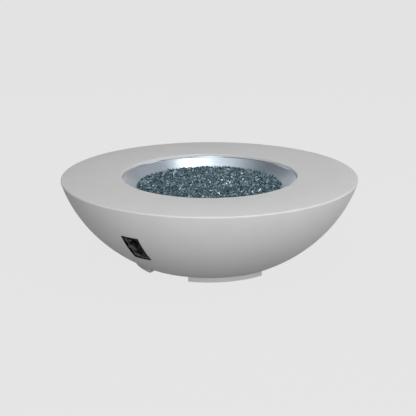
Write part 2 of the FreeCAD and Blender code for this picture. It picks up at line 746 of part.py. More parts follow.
# ---- control panel ------------------------------------------------------------------------------------
def panel_screw_places():
    half_w = PANEL_WIDTH / 2 - FLANGE - FRAME_WALL - SCREW_INSET
    half_h = PANEL_HEIGHT / 2 - FLANGE - FRAME_WALL - SCREW_INSET
    return [(sx * half_w, sy * half_h) for sx in (-1, 1) for sy in (-1, 1)]


def valve_screw_places(middle=KNOB_V):
    return [(side * VALVE_SCREW_X, middle) for side in (-1, 1)]


def panel_frame():
    """Frame: a flange that lies on the bowl's curve, a sleeve through the wall, a ledge for the plate."""
    sleeve_w = PANEL_WIDTH - 2 * FLANGE
    sleeve_h = PANEL_HEIGHT - 2 * FLANGE
    inside_w = sleeve_w - 2 * FRAME_WALL
    inside_h = sleeve_h - 2 * FRAME_WALL
    front = 10.0
    over_bowl = 0.05
    skins = []
    for grow in (FRAME_PROUD, over_bowl):
        skin = solid_to_shape(-grow, 40, BOWL_HEIGHT)
        skin.Placement = ON_PANEL.inverse()
        skins.append(skin)
    flange = rounded(PANEL_WIDTH, PANEL_HEIGHT, 1.5, -20, front).common(skins[0]).cut(skins[1])
    frame = flange.fuse(rounded(sleeve_w, sleeve_h, 2.5, -FRAME_DEPTH, front).common(skins[0]))
    frame = frame.cut(rounded(inside_w, inside_h, 1.5, PLATE_BACK, 2 * front))
    well_w = inside_w - 2 * PLATE_LEDGE
    well_h = inside_h - 2 * PLATE_LEDGE
    well = rounded(well_w, well_h, 1.5, -FRAME_DEPTH - 1, PLATE_BACK + 1)
    boss = 9.6
    for x, y in panel_screw_places():
        well = well.cut(rounded(boss, boss, 2, -FRAME_DEPTH - 2, PLATE_BACK + 2, x * 1.02, y * 1.01))
    frame = frame.cut(well)
    for x, y in panel_screw_places():
        frame = frame.cut(cylinder(1.5, PLATE_BACK - 12, PLATE_BACK + 1, x, y))
    return frame


def panel_plate():
    """Flat plate set back in the frame, with holes for the stem, the igniter and the screws."""
    width = PANEL_WIDTH - 2 * (FLANGE + FRAME_WALL + PLATE_GAP)
    height = PANEL_HEIGHT - 2 * (FLANGE + FRAME_WALL + PLATE_GAP)
    plate = rounded(width, height, 1.2, PLATE_BACK, PLATE_FACE)
    plate = drilled(plate, 6.2, PLATE_BACK, PLATE_FACE, [(0, KNOB_V)])
    plate = drilled(plate, BARREL_R + 0.2, PLATE_BACK, PLATE_FACE, [(0, IGNITER_V)])
    plate = drilled(plate, 1.7, PLATE_BACK, PLATE_FACE, panel_screw_places())
    for x, y in valve_screw_places():
        plate = plate.cut(cone(2.1, 3.9, PLATE_BACK, PLATE_FACE, x, y))
    return plate


def panel_parts():
    save("panel_frame", on_panel(panel_frame()))
    save("panel_plate", on_panel(panel_plate()))
    screws = []
    for x, y in panel_screw_places():
        screws.append(screw(2.9, 1.9, 1.45, PLATE_BACK - 10, PLATE_FACE, x, y, 0.9))
    save("panel_screws", on_panel(screws))


# ---- valve: each piece is modelled about the stem's axis ----------------------------------------------
def knob():
    """Hollow moulded knob: skirt, fluted grip, domed face with a pointer groove, and a D-bored hub."""
    low = PLATE_FACE + KNOB_TRAVEL + 0.4
    top = KNOB_TOP
    grip_r = KNOB_R - 1.2
    face_r = KNOB_R - 3.4
    dish_r = KNOB_R - 5.4
    body = lathe(
        (0, low + 1), (6.5, low + 1), (6.5, top - 3), (KNOB_R - 3, top - 3), (KNOB_R - 2.4, low),
        (KNOB_R, low), (KNOB_R, low + 2), (grip_r, low + 3), (KNOB_R - 1.8, top - 1.6),
        ((KNOB_R - 2.3, top - 0.5), (face_r, top)), (face_r - 1.2, top), (dish_r, top - 0.6),
        dome(dish_r, top - 0.6, top),
    )
    for x, y in circle_places(KNOB_R - 0.6, KNOB_FLUTES, 180 / KNOB_FLUTES):
        body = body.cut(cylinder(1.3, low + 3, top + 1, x, y))
    body = body.cut(block(-0.7, 0.7, 5, KNOB_R, top - 1.2, top + 1))
    flat = block(STEM_FLAT + RUNNING, PAST, -PAST, PAST, low - 2, top)
    return body.cut(cylinder(STEM_R + RUNNING, low - 1, top - 2.4).cut(flat))


def valve_stem():
    """Stem with a flat for the knob, a collar that the washer lifts, and a tongue that turns the plug."""
    top = KNOB_TOP - 2.6
    shoulder = PLATE_FACE + KNOB_TRAVEL + 1
    neck = -24.0
    tongue_low = BODY_LOW
    stem = cylinder(STEM_R, neck, top).fuse(cylinder(4.6, BONNET_PLATE - 0.2, -8.4))
    stem = stem.cut(block(STEM_FLAT, PAST, -PAST, PAST, shoulder, top + 1))
    tongue = block(-TONGUE_HALF, TONGUE_HALF, -PAST, PAST, tongue_low - 1, neck + 1)
    return stem.fuse(cylinder(STEM_R, tongue_low, neck + 1).common(tongue))


def valve_body():
    """Brass body: threaded neck, block with side ports, taper bore and a passage through to the magnet."""
    body = cylinder(NECK_R, -30, BONNET_PLATE - 0.05).fuse(rounded(30, 27, 4, -48, -22))
    body = body.fuse(cylinder(11.5, BODY_LOW, TAPER_LOW[0]))
    body = body.fuse(rod_x(8, -20, 20, PORT_LEVEL)).fuse(rod_x(MALE_R, -33, -19, PORT_LEVEL))
    play = RUNNING + 0.01
    taper = cone(TAPER_LOW[1] + play, TAPER_TOP[1] + play, TAPER_LOW[0], TAPER_TOP[0])
    spring_room = cylinder(8.4, TAPER_TOP[0], -9)
    magnet_way = cylinder(3.4, BODY_LOW - 1, TAPER_LOW[0] + 1)
    for cutter in (spring_room, taper, magnet_way, rod_x(GAS_BORE, -35, 25, PORT_LEVEL)):
        body = body.cut(cutter)
    return body


def valve_plug():
    """Taper plug with a cross bore and a slot for the stem's tongue."""
    low, low_r = TAPER_LOW
    top, top_r = TAPER_TOP
    plug = cone(low_r, top_r, low, top).common(cylinder(top_r + 1, low + 0.3, top - 0.2))
    slot_half = TONGUE_HALF + 0.3
    slot = block(-slot_half, slot_half, -5, 5, low - 1, top + 1)
    slot = slot.common(cylinder(STEM_R + 0.35, low - 1, top + 1))
    cross_bore = Part.makeCylinder(3, 20, vec(0, -10, PORT_LEVEL), Y_AXIS)
    return plug.cut(slot).cut(cylinder(STEM_R + 0.4, -31, top + 1)).cut(cross_bore)


def valve_bonnet():
    """Cap of the valve with two ears that take the plate's screws, and a guide for the stem."""
    bonnet = rounded(42, 18, 4, BONNET_PLATE, BONNET_TOP).fuse(cylinder(14.8, -18, BONNET_PLATE))
    bonnet = bonnet.fuse(tube(BONNET_BORE + 0.9, BONNET_BORE, BONNET_PLATE, -4.6))
    bonnet = bonnet.cut(cylinder(BONNET_BORE, BONNET_PLATE - 1, 0))
    bonnet = bonnet.cut(cylinder(NECK_R + RUNNING, -19, BONNET_PLATE))
    return drilled(bonnet, 2.0, -18, BONNET_TOP, valve_screw_places(0))


def valve_screws():
    """Countersunk screws through the plate into the bonnet's ears."""
    screws = []
    for x, y in valve_screw_places(0):
        head = cone(2.0, 3.8, PLATE_BACK + 0.05, PLATE_FACE - 0.05, x, y)
        screws.append(head.fuse(cylinder(1.95, BONNET_PLATE + 0.1, PLATE_BACK + 0.05, x, y)))
    return Part.makeCompound(screws)


def magnet_housing():
    """Hexagon and can of the flame-failure magnet, open towards the plug."""
    hex_low = -58.0
    can_low = -78.0
    housing = hexagon(19, hex_low, BODY_LOW).fuse(cylinder(8, can_low, hex_low))
    housing = housing.fuse(cylinder(4.5, -84, can_low))
    return housing.cut(cylinder(3.5, -54.5, BODY_LOW + 1)).cut(cylinder(6.5, -72, -54))


def valve_elbow():
    """Bent tail from the valve's inlet to a male end that points down the slope."""
    start = vec(20.1, 0, PORT_LEVEL)
    bend_start = vec(23, 0, PORT_LEVEL)
    bend_r = VALVE_INLET_X - bend_start.x
    lean = bend_r * math.sin(math.pi / 4)
    bend_middle = bend_start + vec(lean, lean - bend_r)
    bend_end = bend_start + vec(bend_r, -bend_r)
    path = Part.Wire([
        Part.LineSegment(start, bend_start).toShape(),
        Part.Arc(bend_start, bend_middle, bend_end).toShape(),
        Part.LineSegment(bend_end, bend_end + vec(0, -15)).toShape(),
    ])
    outer, inner = [
        path.makePipeShell([Part.Wire(Part.makeCircle(radius, start, X_AXIS))], True, True)
        for radius in (MALE_R, GAS_BORE)
    ]
    return outer.fuse(rod_x(8.6, start.x, start.x + 4, PORT_LEVEL)).cut(inner)


def valve_parts():
    """Push-and-turn safety valve behind the plate."""
    plunger = cylinder(1.8, -60, BODY_LOW - 0.4).fuse(cylinder(5.8, -62.5, -60))
    pieces = {
        "knob": knob(),
        "valve_bonnet": valve_bonnet(),
        "valve_screws": valve_screws(),
        "valve_body": valve_body(),
        "valve_plug": valve_plug(),
        "valve_stem": valve_stem(),
        "stem_washer": tube(7.6, STEM_R + RUNNING, -11.9, -10.3),
        "stem_spring": coil(6.4, 0.5, -25.1, -12.0, 5),
        "magnet_housing": magnet_housing(),
        "magnet_plunger": plunger,
        "thermocouple_nut": nut(11, 2.2, -93, -84),
        "valve_elbow": valve_elbow(),
    }
    for name, shape in pieces.items():
        save_on_panel(name, shape, KNOB_V)


# ---- igniter: each piece is modelled about the button's axis ------------------------------------------
def igniter_barrel():
    """Spark module's barrel with a flange on the plate, a bore for the battery and a tab for the wire."""
    flange_low = PLATE_FACE + 0.02
    battery_bore = BATTERY_R + 0.4
    floor = BARREL_LOW + 3.5
    barrel = lathe(
        (0, BARREL_LOW), (8.2, BARREL_LOW), (BARREL_R, BARREL_LOW + 1.5), (BARREL_R, flange_low),
        (13.2, flange_low), (13.2, PLATE_FACE + 1), (12.6, PLATE_FACE + 1.6), (BARREL_R, PLATE_FACE + 1.6),
        (BARREL_R, 1.0), (BARREL_BORE, 1.0), (BARREL_BORE, BARREL_SHOULDER),
        (battery_bore, BARREL_SHOULDER), (battery_bore, floor), (0, floor),
    )
    return barrel.fuse(block(-2.4, 2.4, -0.4, 0.4, BARREL_LOW - 5, BARREL_LOW + 0.5))


def igniter_cap():
    """Notched cap of the bayonet, with a hole for the button."""
    low = PLATE_FACE + 2.0
    inner = BARREL_R + 0.1
    hole_r = 7.3
    inside_top = 1.5
    cap = lathe(
        (inner, low), (11.6, low), (11.9, low + 0.6), (11.6, 2.4), ((11.2, 3.3), (10.2, 3.6)),
        (8.6, 3.6), (hole_r, 2.9), (hole_r, inside_top), (inner, inside_top),
    )
    for x, y in circle_places(12.1, CAP_NOTCHES):
        cap = cap.cut(cylinder(0.9, PLATE_FACE, 2.2, x, y))
    return cap


def igniter_button():
    """Button with a rounded edge, a dished face and a flange that the cap keeps in."""
    edge_r = BUTTON_R - 1.4
    return lathe(
        (0, -1.0), (BUTTON_FLANGE_R, -1.0), (BUTTON_FLANGE_R, 1.0), (BUTTON_R, 1.0),
        (BUTTON_R, BUTTON_TOP - 1.4), ((BUTTON_R - 0.4, BUTTON_TOP - 0.4), (edge_r, BUTTON_TOP)),
        dome(edge_r, BUTTON_TOP, BUTTON_TOP - 0.5),
    )


def battery():
    """AA cell, its raised contact towards the button."""
    low = BATTERY_TOP - BATTERY_LENGTH + 1
    return lathe(
        (0, low), (BATTERY_R, low), (BATTERY_R, BATTERY_TOP), (2.7, BATTERY_TOP), (2.7, BATTERY_TOP + 1.8),
        (0, BATTERY_TOP + 1.8),
    )


def igniter_parts():
    """Spark module in a round barrel: quarter-turn cap, sprung button and a battery behind it."""
    disc_low = BARREL_SHOULDER + 0.1
    disc_top = disc_low + 0.7
    pieces = {
        "igniter_barrel": igniter_barrel(),
        "igniter_nut": nut(26, BARREL_R + RUNNING, -11.5, PLATE_BACK),
        "igniter_cap": igniter_cap(),
        "igniter_button": igniter_button(),
        "button_spring": coil(6.6, 0.4, disc_top + 0.1, -1.1, 3),
        "contact_disc": cylinder(8.4, disc_low, disc_top),
        "battery": battery(),
        "battery_spring": coil(5.5, 0.4, BARREL_LOW + 3.6, BATTERY_TOP - BATTERY_LENGTH + 0.9, 2.5),
    }
    for name, shape in pieces.items():
        save_on_panel(name, shape, IGNITER_V)


# ---- gas and ignition lines ---------------------------------------------------------------------------
def hose_nut(start=0.0):
    """Flare nut along +Z: it grips a male end and lets the hose out behind."""
    across = 19.0
    flats = start + 12
    blank = hexagon(across, start, flats).fuse(cone(0.47 * across, HOSE_R + 2, flats, flats + 4))
    blank = blank.cut(cylinder(MALE_R + RUNNING, start - 1, start + NUT_GRIP + 0.1))
    return blank.cut(cylinder(HOSE_BORE_R, start, flats + PAST))


def valve_hose_nut(x, y, direction):
    """Hose nut on a male end of the valve, pointing along a panel direction."""
    grip = hose_nut()
    grip.Placement = FreeCAD.Placement(vec(x, y, PORT_LEVEL), FreeCAD.Rotation(Z_AXIS, direction))
    return on_panel(grip)


def burner_line():
    """Hose from the valve's outlet, round inside the bowl, to the jet."""
    outlet_x = -23.0
    save("burner_hose_nuts", [
        along_y(hose_nut(JET_END - NUT_GRIP), 0, MIXER_Z), valve_hose_nut(outlet_x, KNOB_V, vec(-1, 0, 0)),
    ])
    _, valve_y, valve_z = from_panel(0, KNOB_V, PORT_LEVEL)
    route = [
        (0, -JET_END - 0.2, MIXER_Z), (0, -180, MIXER_Z), (-30, -240, MIXER_Z + 2),
        (-95, -300, MIXER_Z + 5), (-124, -348, MIXER_Z + 8), (-124, -399, valve_z),
        (-88, valve_y, valve_z), (outlet_x - NUT_GRIP - 0.2, valve_y, valve_z),
    ]
    save("burner_hose", pipe_along(route, HOSE_R, "burner hose"))


def inlet_line():
    """Hose from the inlet fitting on the bowl's floor up to the valve."""
    nut_y = KNOB_V - 13
    floor_nut = along_y(hose_nut(), INLET_X, INLET_Z).translated(vec(0, INLET_PLATE_Y - 11, 0))
    save("inlet_hose_nuts", [valve_hose_nut(VALVE_INLET_X, nut_y, vec(0, -1, 0)), floor_nut])
    hose_end = INLET_PLATE_Y - 11 - NUT_GRIP - 0.2
    start_y = nut_y - NUT_GRIP - 0.2
    _, down_y, down_z = from_panel(VALVE_INLET_X, start_y - 85, PORT_LEVEL)
    route = [
        from_panel(VALVE_INLET_X, start_y, PORT_LEVEL), (INLET_X, down_y, down_z),
        (INLET_X, down_y + 55, INLET_Z + 4), (INLET_X, INLET_PLATE_Y - 60, INLET_Z),
        (INLET_X, hose_end, INLET_Z),
    ]
    save("inlet_hose", pipe_along(route, HOSE_R, "inlet hose"))


def ignition_lines():
    """Thermocouple's capillary and the igniter's wire, from the panel to the probes under the pan."""
    (spark_x, spark_y), (sense_x, sense_y) = ignition_places()
    lead_route = [
        from_panel(0, KNOB_V, -84.2), from_panel(0, KNOB_V, -112), (4, -332, 244), (12, -285, 222),
        (20, -243, 196), (28, -210, 180), (sense_x, sense_y - 14, 176), (sense_x, sense_y, 188),
        (sense_x, sense_y, DISH_FLOOR_Z - 25.2),
    ]
    save("thermocouple_lead", pipe_along(lead_route, LEAD_R, "thermocouple lead"))
    wire_route = [
        from_panel(0, IGNITER_V, -74.2), from_panel(0, IGNITER_V, -106), (14, -310, 205), (30, -265, 184),
        (44, -228, 166), (53, -205, 160), (spark_x, spark_y - 17, 158), (spark_x, spark_y, 175),
        (spark_x, spark_y, DISH_FLOOR_Z - 33.2),
    ]
    save("igniter_wire", pipe_along(wire_route, WIRE_R, "igniter wire"))


# ---- inlet: the bracket's upright faces -Y, and the fitting runs through it along +Y ------------------
def bracket_screw_places():
    return [(INLET_X + side * INLET_SCREW_X, INLET_PLATE_Y - 14) for side in (-1, 1)]


def through_inlet(shape):
    """Turn a shape modelled along +Z so that it points along +Y through the bracket's hole."""
    turned = shape.copy()
    turned.rotate(ORIGIN, X_AXIS, -90)
    return turned.translated(vec(INLET_X, INLET_PLATE_Y, INLET_Z))


def inlet_bracket():
    """Angle bracket screwed down inside the bowl."""
    floor = FOOT_HEIGHT + WALL
    top = floor + INLET_PLATE
    half = 22.0
    depth = 26.0
    foot = block(INLET_X - half, INLET_X + half, INLET_PLATE_Y - depth, INLET_PLATE_Y, floor, top)
    upright = along_y(rounded(2 * half, 54, 6, 0, INLET_PLATE), INLET_X, floor + 29)
    upright.translate(vec(0, INLET_PLATE_Y, 0))
    bracket = foot.fuse(upright.common(block(-200, 200, -400, 0, floor, 300)))
    bracket = bracket.cut(through_inlet(cylinder(BULKHEAD_R + RUNNING, -10, 10)))
    return drilled(bracket, 2.7, floor, floor, bracket_screw_places())


def inlet_parts():
    """Bulkhead fitting for the supply hose, its nut and its bracket."""
    floor = FOOT_HEIGHT + WALL
    flare_end = 26.0
    save("inlet_bracket", inlet_bracket())
    save("bracket_screws", [
        screw(4.5, 3, 2.5, floor - 10, floor + INLET_PLATE, x, y, 1.5) for x, y in bracket_screw_places()
    ])
    fitting = cylinder(MALE_R, -21, -10).fuse(hexagon(22, -11, -INLET_PLATE - 0.05))
    fitting = fitting.fuse(cylinder(BULKHEAD_R, -4, 6.2)).fuse(cylinder(FLARE_R, 6, flare_end))
    fitting = fitting.fuse(cone(FLARE_R, 5.2, flare_end, flare_end + 2.7)).cut(cylinder(GAS_BORE, -30, 40))
    save("inlet_fitting", through_inlet(fitting))
    save("inlet_locknut", through_inlet(nut(24, BULKHEAD_R + RUNNING, 0.05, 6)))


# ---- build --------------------------------------------------------------------------------------------
os.makedirs("parts", exist_ok=True)
save("bowl_shell", bowl_shell())
save("foot_pads", pad_arcs())
save("fire_dish", fire_dish())
save("fire_glass", fire_glass())
save("burner_ring", burner_ring())
pipe_parts()
mixer_parts()
ignition_parts()
panel_parts()
valve_parts()
igniter_parts()
burner_line()
inlet_line()
ignition_lines()
inlet_parts()
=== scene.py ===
"""Looks of a round gas fire bowl: cast shell, spun pan, crushed glass and a small control panel.

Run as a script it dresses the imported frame; as an add-on it would list the same steps in a sidebar panel.
Lengths are metres unless a name ends in _mm.
"""

import contextlib
import json
import math

import bmesh
import bpy
from mathutils import Matrix, Vector


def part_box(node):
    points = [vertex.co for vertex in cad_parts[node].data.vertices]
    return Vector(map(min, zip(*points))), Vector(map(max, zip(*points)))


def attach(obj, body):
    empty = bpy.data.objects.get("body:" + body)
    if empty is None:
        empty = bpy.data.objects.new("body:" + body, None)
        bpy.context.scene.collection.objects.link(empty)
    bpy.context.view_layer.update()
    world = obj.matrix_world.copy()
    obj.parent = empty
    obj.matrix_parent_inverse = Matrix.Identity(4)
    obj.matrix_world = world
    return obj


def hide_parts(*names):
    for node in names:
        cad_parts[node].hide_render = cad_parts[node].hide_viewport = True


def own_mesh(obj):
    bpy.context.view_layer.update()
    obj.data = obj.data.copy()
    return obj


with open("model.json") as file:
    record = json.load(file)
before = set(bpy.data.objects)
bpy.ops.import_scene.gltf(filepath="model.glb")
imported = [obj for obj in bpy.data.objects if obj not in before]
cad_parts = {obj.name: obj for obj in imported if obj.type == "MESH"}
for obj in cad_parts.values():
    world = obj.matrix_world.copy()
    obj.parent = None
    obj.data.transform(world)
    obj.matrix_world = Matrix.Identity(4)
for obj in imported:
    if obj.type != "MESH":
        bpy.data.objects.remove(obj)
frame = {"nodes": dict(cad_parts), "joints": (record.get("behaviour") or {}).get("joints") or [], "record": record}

bl_info = {
    "name": "Gas Fire Bowl",
    "version": (1, 0, 0),
    "blender": (4, 5, 0),
    "location": "View3D > Sidebar > Fire Bowl",
    "description": "Builds the shell, pan, crushed glass and control panel of a round gas fire bowl",
    "category": "Add Mesh",
}

MM = 0.001
JOINTS = {joint["name"]: joint for joint in frame["joints"]}


# ---- sizes read from the frame ----
def joint_point(name):
    return Vector(JOINTS[name]["pos_m"])


SHELL_LOW, SHELL_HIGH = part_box("bowl_shell")
HEIGHT = SHELL_HIGH.z
KNOB_POINT = joint_point("knob_turn")
CAP_POINT = joint_point("battery_cap_turn")
OUTWARD = Vector(JOINTS["knob_turn"]["axis"]).normalized()
UP_SLOPE = (KNOB_POINT - CAP_POINT).normalized()
ACROSS = UP_SLOPE.cross(OUTWARD)


# ---- settings a user would change ----
def length(name, default_mm, description):
    return bpy.props.FloatProperty(
        name=name, description=description, default=default_mm * MM, unit="LENGTH", precision=4
    )


def angle(name, default, description):
    return bpy.props.FloatProperty(name=name, description=description, default=default, subtype="ANGLE")


def amount(name, default, description):
    return bpy.props.IntProperty(name=name, description=description, default=default)


def paint(name, hex_code, description):
    return bpy.props.FloatVectorProperty(
        name=name, description=description, default=linear(hex_code)[:3], subtype="COLOR", size=3, min=0,
        max=1,
    )


def linear(hex_code):
    """sRGB hex to linear RGBA; a colour that is linear already passes through."""
    if not isinstance(hex_code, str):
        return tuple(hex_code)[:3] + (1.0,)
    values = [int(hex_code[i:i + 2], 16) / 255 for i in (1, 3, 5)]
    return tuple(v / 12.92 if v <= 0.04045 else ((v + 0.055) / 1.055) ** 2.4 for v in values) + (1.0,)


class ShellSettings(bpy.types.PropertyGroup):
    """The cast shell's own form, which the frame's box alone doesn't give."""

    shape_a: length("Shape half width", 552.5, "Half width of the ellipse that the outside follows")
    shape_b: length("Shape half height", 487.4, "Half height of that ellipse")
    shape_z: length("Shape centre", 438.9, "Height of that ellipse's centre")
    wall: length("Wall", 18, "Thickness of the side")
    rim_thick: length("Rim thickness", 26, "Thickness of the flat rim")
    rim_round: length("Rim edge", 4.5, "Radius of the outer edge")
    opening: length("Opening radius", 315.5, "Radius of the opening")
    opening_round: length("Opening edge", 3.5, "Radius of the opening's edge")
    ledge_depth: length("Ledge depth", 12.5, "From the rim's top down to the ledge")
    ledge_width: length("Ledge width", 9, "Width of the ledge that carries the pan")
    access: length("Access radius", 190, "Radius of the hole underneath")
    foot_height: length("Foot height", 21.5, "Ground to the underside of the bowl")
    foot_outer: length("Foot outside", 279, "Outer radius of the feet")
    foot_inner: length("Foot inside", 215, "Inner radius of the feet")
    foot_slot: length("Foot slot", 161, "Clear width between two feet")
    colour: paint("Cast colour", "#C9C9C9", "Colour of the sealed cast surface")


class PanSettings(bpy.types.PropertyGroup):
    """The spun burner pan: a flat floor, a steep and a shallow wall, and a flat lip on the shell's ledge."""

    floor_z: length("Floor level", 230, "Height of the pan's floor")
    floor_r: length("Floor radius", 217, "Radius where the steep wall starts")
    knee_r: length("Knee radius", 233.5, "Radius where the shallow wall starts")
    wall_r: length("Wall radius", 304, "Radius where the shallow wall ends in the lip")
    slope: angle("Wall slope", math.radians(33), "Rise of the shallow wall from level")
    bend: length("Bend", 12, "Radius of the bend at the floor")
    knee_bend: length("Knee bend", 20, "Radius of the bend at the knee")
    lip_bend: length("Lip bend", 4, "Radius of the bend at the lip")
    sheet: length("Sheet", 1.5, "Thickness of the metal")
    lip_r: length("Lip radius", 312.6, "Radius of the middle of the lip's rolled edge")
    hem: length("Rolled edge", 1.6, "Radius of the lip's rolled edge")
    lip_gap: length("Lip gap", 0.2, "From the ledge up to the lip's underside")
    drains: amount("Drains", 6, "Holes that let rain out of the pan")
    drain_r: length("Drain radius", 5, "Radius of one drain hole")
    drain_circle: length("Drain circle", 195, "Radius of the circle that the drains are on")
    colour: paint("Steel colour", "#B6BEC6", "Colour of the spun steel")


class GlassSettings(bpy.types.PropertyGroup):
    """The bed of crushed glass."""

    edge_r: length("Edge radius", 263.5, "Where the bed meets the pan's wall")
    crown: length("Crown", 10, "How far the middle stands above the edge")
    piece: length("Piece", 9, "Usual size of one piece")
    pieces: amount("Pieces", 48000, "Pieces per square metre")
    seed: amount("Seed", 7, "Seed of the random places")
    variants: amount("Shapes", 9, "Different pieces")
    # the deep colour is painted shade: the packed core under the pieces takes it, so the gaps between them read
    # dark
    deep: paint("Deep colour", "#18242A", "Colour down in the gaps")
    dark: paint("Dark colour", "#1F323A", "Colour of the darkest pieces")
    middle: paint("Middle colour", "#466470", "Colour of most pieces")
    light: paint("Light colour", "#9FB9C4", "Colour of the mirror-backed pieces")


class ControlSettings(bpy.types.PropertyGroup):
    """The knob, the igniter, the panel's screws and what is printed on its plate."""

    knob_r: length("Knob radius", 17.5, "Radius of the knob's skirt")
    knob_top: length("Knob top", 8, "Height of the knob's face above the bowl's surface")
    skirt_low: length("Skirt", -1.6, "Height of the skirt's lower edge")
    flutes: amount("Flutes", 18, "Finger grooves round the knob")
    flute_r: length("Flute radius", 1.3, "Radius of one finger groove")
    ticks: amount("Ticks", 9, "Printed ticks beside the knob")
    cap_r: length("Cap radius", 11.9, "Radius of the igniter's cap")
    cap_top: length("Cap top", 3.6, "Height of the cap's rim")
    notches: amount("Notches", 24, "Grip notches round the cap")
    button_r: length("Button radius", 6.9, "Radius of the igniter's button")
    button_top: length("Button top", 5.4, "Height of the button")
    plate_face: length("Plate face", -5, "Height of the plate's face, below the bowl's surface")
    print_width: length("Line width", 0.9, "Width of the printed border")
    print_in: length("Border inset", 3.2, "From the plate's edge to the printed border")
    screw_r: length("Screw head", 2.9, "Radius of a panel screw's head")
    screw_top: length("Screw height", 1.9, "Height of a panel screw's head")


class StageSettings(bpy.types.PropertyGroup):
    """Camera, lights and floor."""

    azimuth: angle("Azimuth", math.radians(32.41), "Turn of the camera")
    elevation: angle("Elevation", math.radians(16.472), "Height of the camera")
    roll: angle("Roll", -0.0034, "Turn about the view axis")
    distance: length("Distance", 3523.4, "From the camera to the point it looks at")
    aim_right: length("Aim right", -5.48, "How far right of the middle the camera aims")
    aim_up: length("Aim height", 186.6, "Height of the point the camera looks at")
    lens_mm: bpy.props.FloatProperty(name="Lens", description="Focal length", default=83.38, unit="CAMERA")
    backdrop: paint("Backdrop", "#EAEAEA", "Pale colour round the object")
    ceiling: paint("Ceiling", "#6C7278", "Colour of the studio above, as metal and glass show it")
    floor: paint("Floor", "#909090", "Colour of the floor where it lights the object")
    floor_glow: bpy.props.FloatProperty(
        name="Floor glow", description="How far the backdrop's colour hides the lit floor", default=0.93,
        subtype="FACTOR",
    )
    fill: bpy.props.FloatProperty(
        name="Fill", description="Strength of the even light from all round", default=0.08
    )


# ---- mesh helpers ----
# points this close are one point, and points this near the axis are on it
SAME_POINT = 0.001 * MM
ON_AXIS = 0.0001 * MM


def new_object(name, data):
    """An object of some data, in the scene."""
    thing = bpy.data.objects.new(name, data)
    bpy.context.scene.collection.objects.link(thing)
    return thing


@contextlib.contextmanager
def edited(mesh, source=None):
    """A mesh, or another one's copy, as a BMesh that is written into the mesh when the block ends."""
    work = bmesh.new()
    work.from_mesh(source or mesh)
    yield work
    work.to_mesh(mesh)
    work.free()


def solid(name, verts, faces):
    """A closed mesh with doubled points merged and every face turned outwards."""
    mesh = bpy.data.meshes.new(name)
    mesh.from_pydata(verts, [], faces)
    mesh.validate()
    with edited(mesh) as work:
        bmesh.ops.remove_doubles(work, verts=work.verts, dist=SAME_POINT)
        bmesh.ops.recalc_face_normals(work, faces=work.faces)
    return new_object(name, mesh)


def smooth(thing, angle_deg=35):
    """Smooth shading with the edges sharper than an angle kept crisp."""
    mesh = thing.data
    mesh.polygons.foreach_set("use_smooth", [True] * len(mesh.polygons))
    mesh.set_sharp_from_angle(angle=math.radians(angle_deg))


def corner_arc(before, corner, after, radius, steps):
    """Points of the arc that rounds one corner of an outline."""
    into = (Vector(before) - Vector(corner)).normalized()
    out = (Vector(after) - Vector(corner)).normalized()
    half = into.angle(out) / 2
    reach = radius / math.tan(half)
    middle = Vector(corner) + (into + out).normalized() * (radius / math.sin(half))
    start = Vector(corner) + into * reach - middle
    end = Vector(corner) + out * reach - middle
    turn = start.angle_signed(end)
    return [tuple(middle + Matrix.Rotation(-turn * i / steps, 2) @ start) for i in range(steps + 1)]


def outline(corners, steps=6):
    """Closed outline from (x, y) or (x, y, radius) corners."""
    flat = [tuple(corner[:2]) for corner in corners]
    points = []
    for i, corner in enumerate(corners):
        if len(corner) == 3 and corner[2] > 0:
            points += corner_arc(flat[i - 1], flat[i], flat[(i + 1) % len(flat)], corner[2], steps)
        else:
            points.append(flat[i])
    return points


def circle(radius, count):
    """Points round a circle about the origin."""
    turns = [math.tau * i / count for i in range(count)]
    return [(radius * math.cos(turn), radius * math.sin(turn)) for turn in turns]


def oblong(left, right, low, high):
    """Corners of a rectangle from its sides."""
    return [(left, low), (right, low), (right, high), (left, high)]


def rounded(half_width, half_height, corner, steps=5):
    """Outline of a rectangle about the origin with rounded corners."""
    sides = oblong(-half_width, half_width, -half_height, half_height)
    return outline([(*point, corner) for point in sides], steps)


def moved_square(line, distance):
    """Corners of an open line moved square to it by a distance."""
    points = [Vector(point) for point in line]
    runs = [end - start for start, end in zip(points, points[1:])]
    squares = [Vector((-run.y, run.x)).normalized() for run in runs]
    moved = [points[0] + squares[0] * distance]
    for point, before, after in zip(points[1:], squares, squares[1:]):
        moved.append(point + (before + after) * (distance / (1 + before.dot(after))))
    moved.append(points[-1] + squares[-1] * distance)
    return [tuple(point) for point in moved]


def ringed_faces(rings):
    """Faces between each ring of points and the next, the last one joining the first."""
    faces = []
    for ring, following in zip(rings, rings[1:] + rings[:1]):
        if len(set(ring)) == 1 and len(set(following)) == 1:
            continue
        for i, j in zip(range(len(ring)), [*range(1, len(ring)), 0]):
            faces.append(list(dict.fromkeys((ring[i], ring[j], following[j], following[i]))))
    return faces


def lathe(name, corners, segments, steps=6):
    """Closed solid of revolution about Z from (radius, height) or (radius, height, rounding) corners."""
    verts, rings = [], []
    for radius, height in outline(corners, steps):
        if radius < ON_AXIS:
            rings.append([len(verts)] * segments)
            verts.append((0, 0, height))
        else:
            rings.append(list(range(len(verts), len(verts) + segments)))
            verts += [(x, y, height) for x, y in circle(radius, segments)]
    return solid(name, verts, ringed_faces(rings))


def rod(name, radius, low, high, segments):
    """Upright cylinder about Z."""
    return lathe(name, oblong(0, radius, low, high), segments)


def slab(name, points, low, high):
    """Upright solid from a closed outline of (x, y)."""
    count = len(points)
    verts = [(x, y, z) for z in (low, high) for x, y in points]
    faces = [list(range(count))[::-1], list(range(count, 2 * count))]
    faces += [[i, (i + 1) % count, count + (i + 1) % count, count + i] for i in range(count)]
    return solid(name, verts, faces)


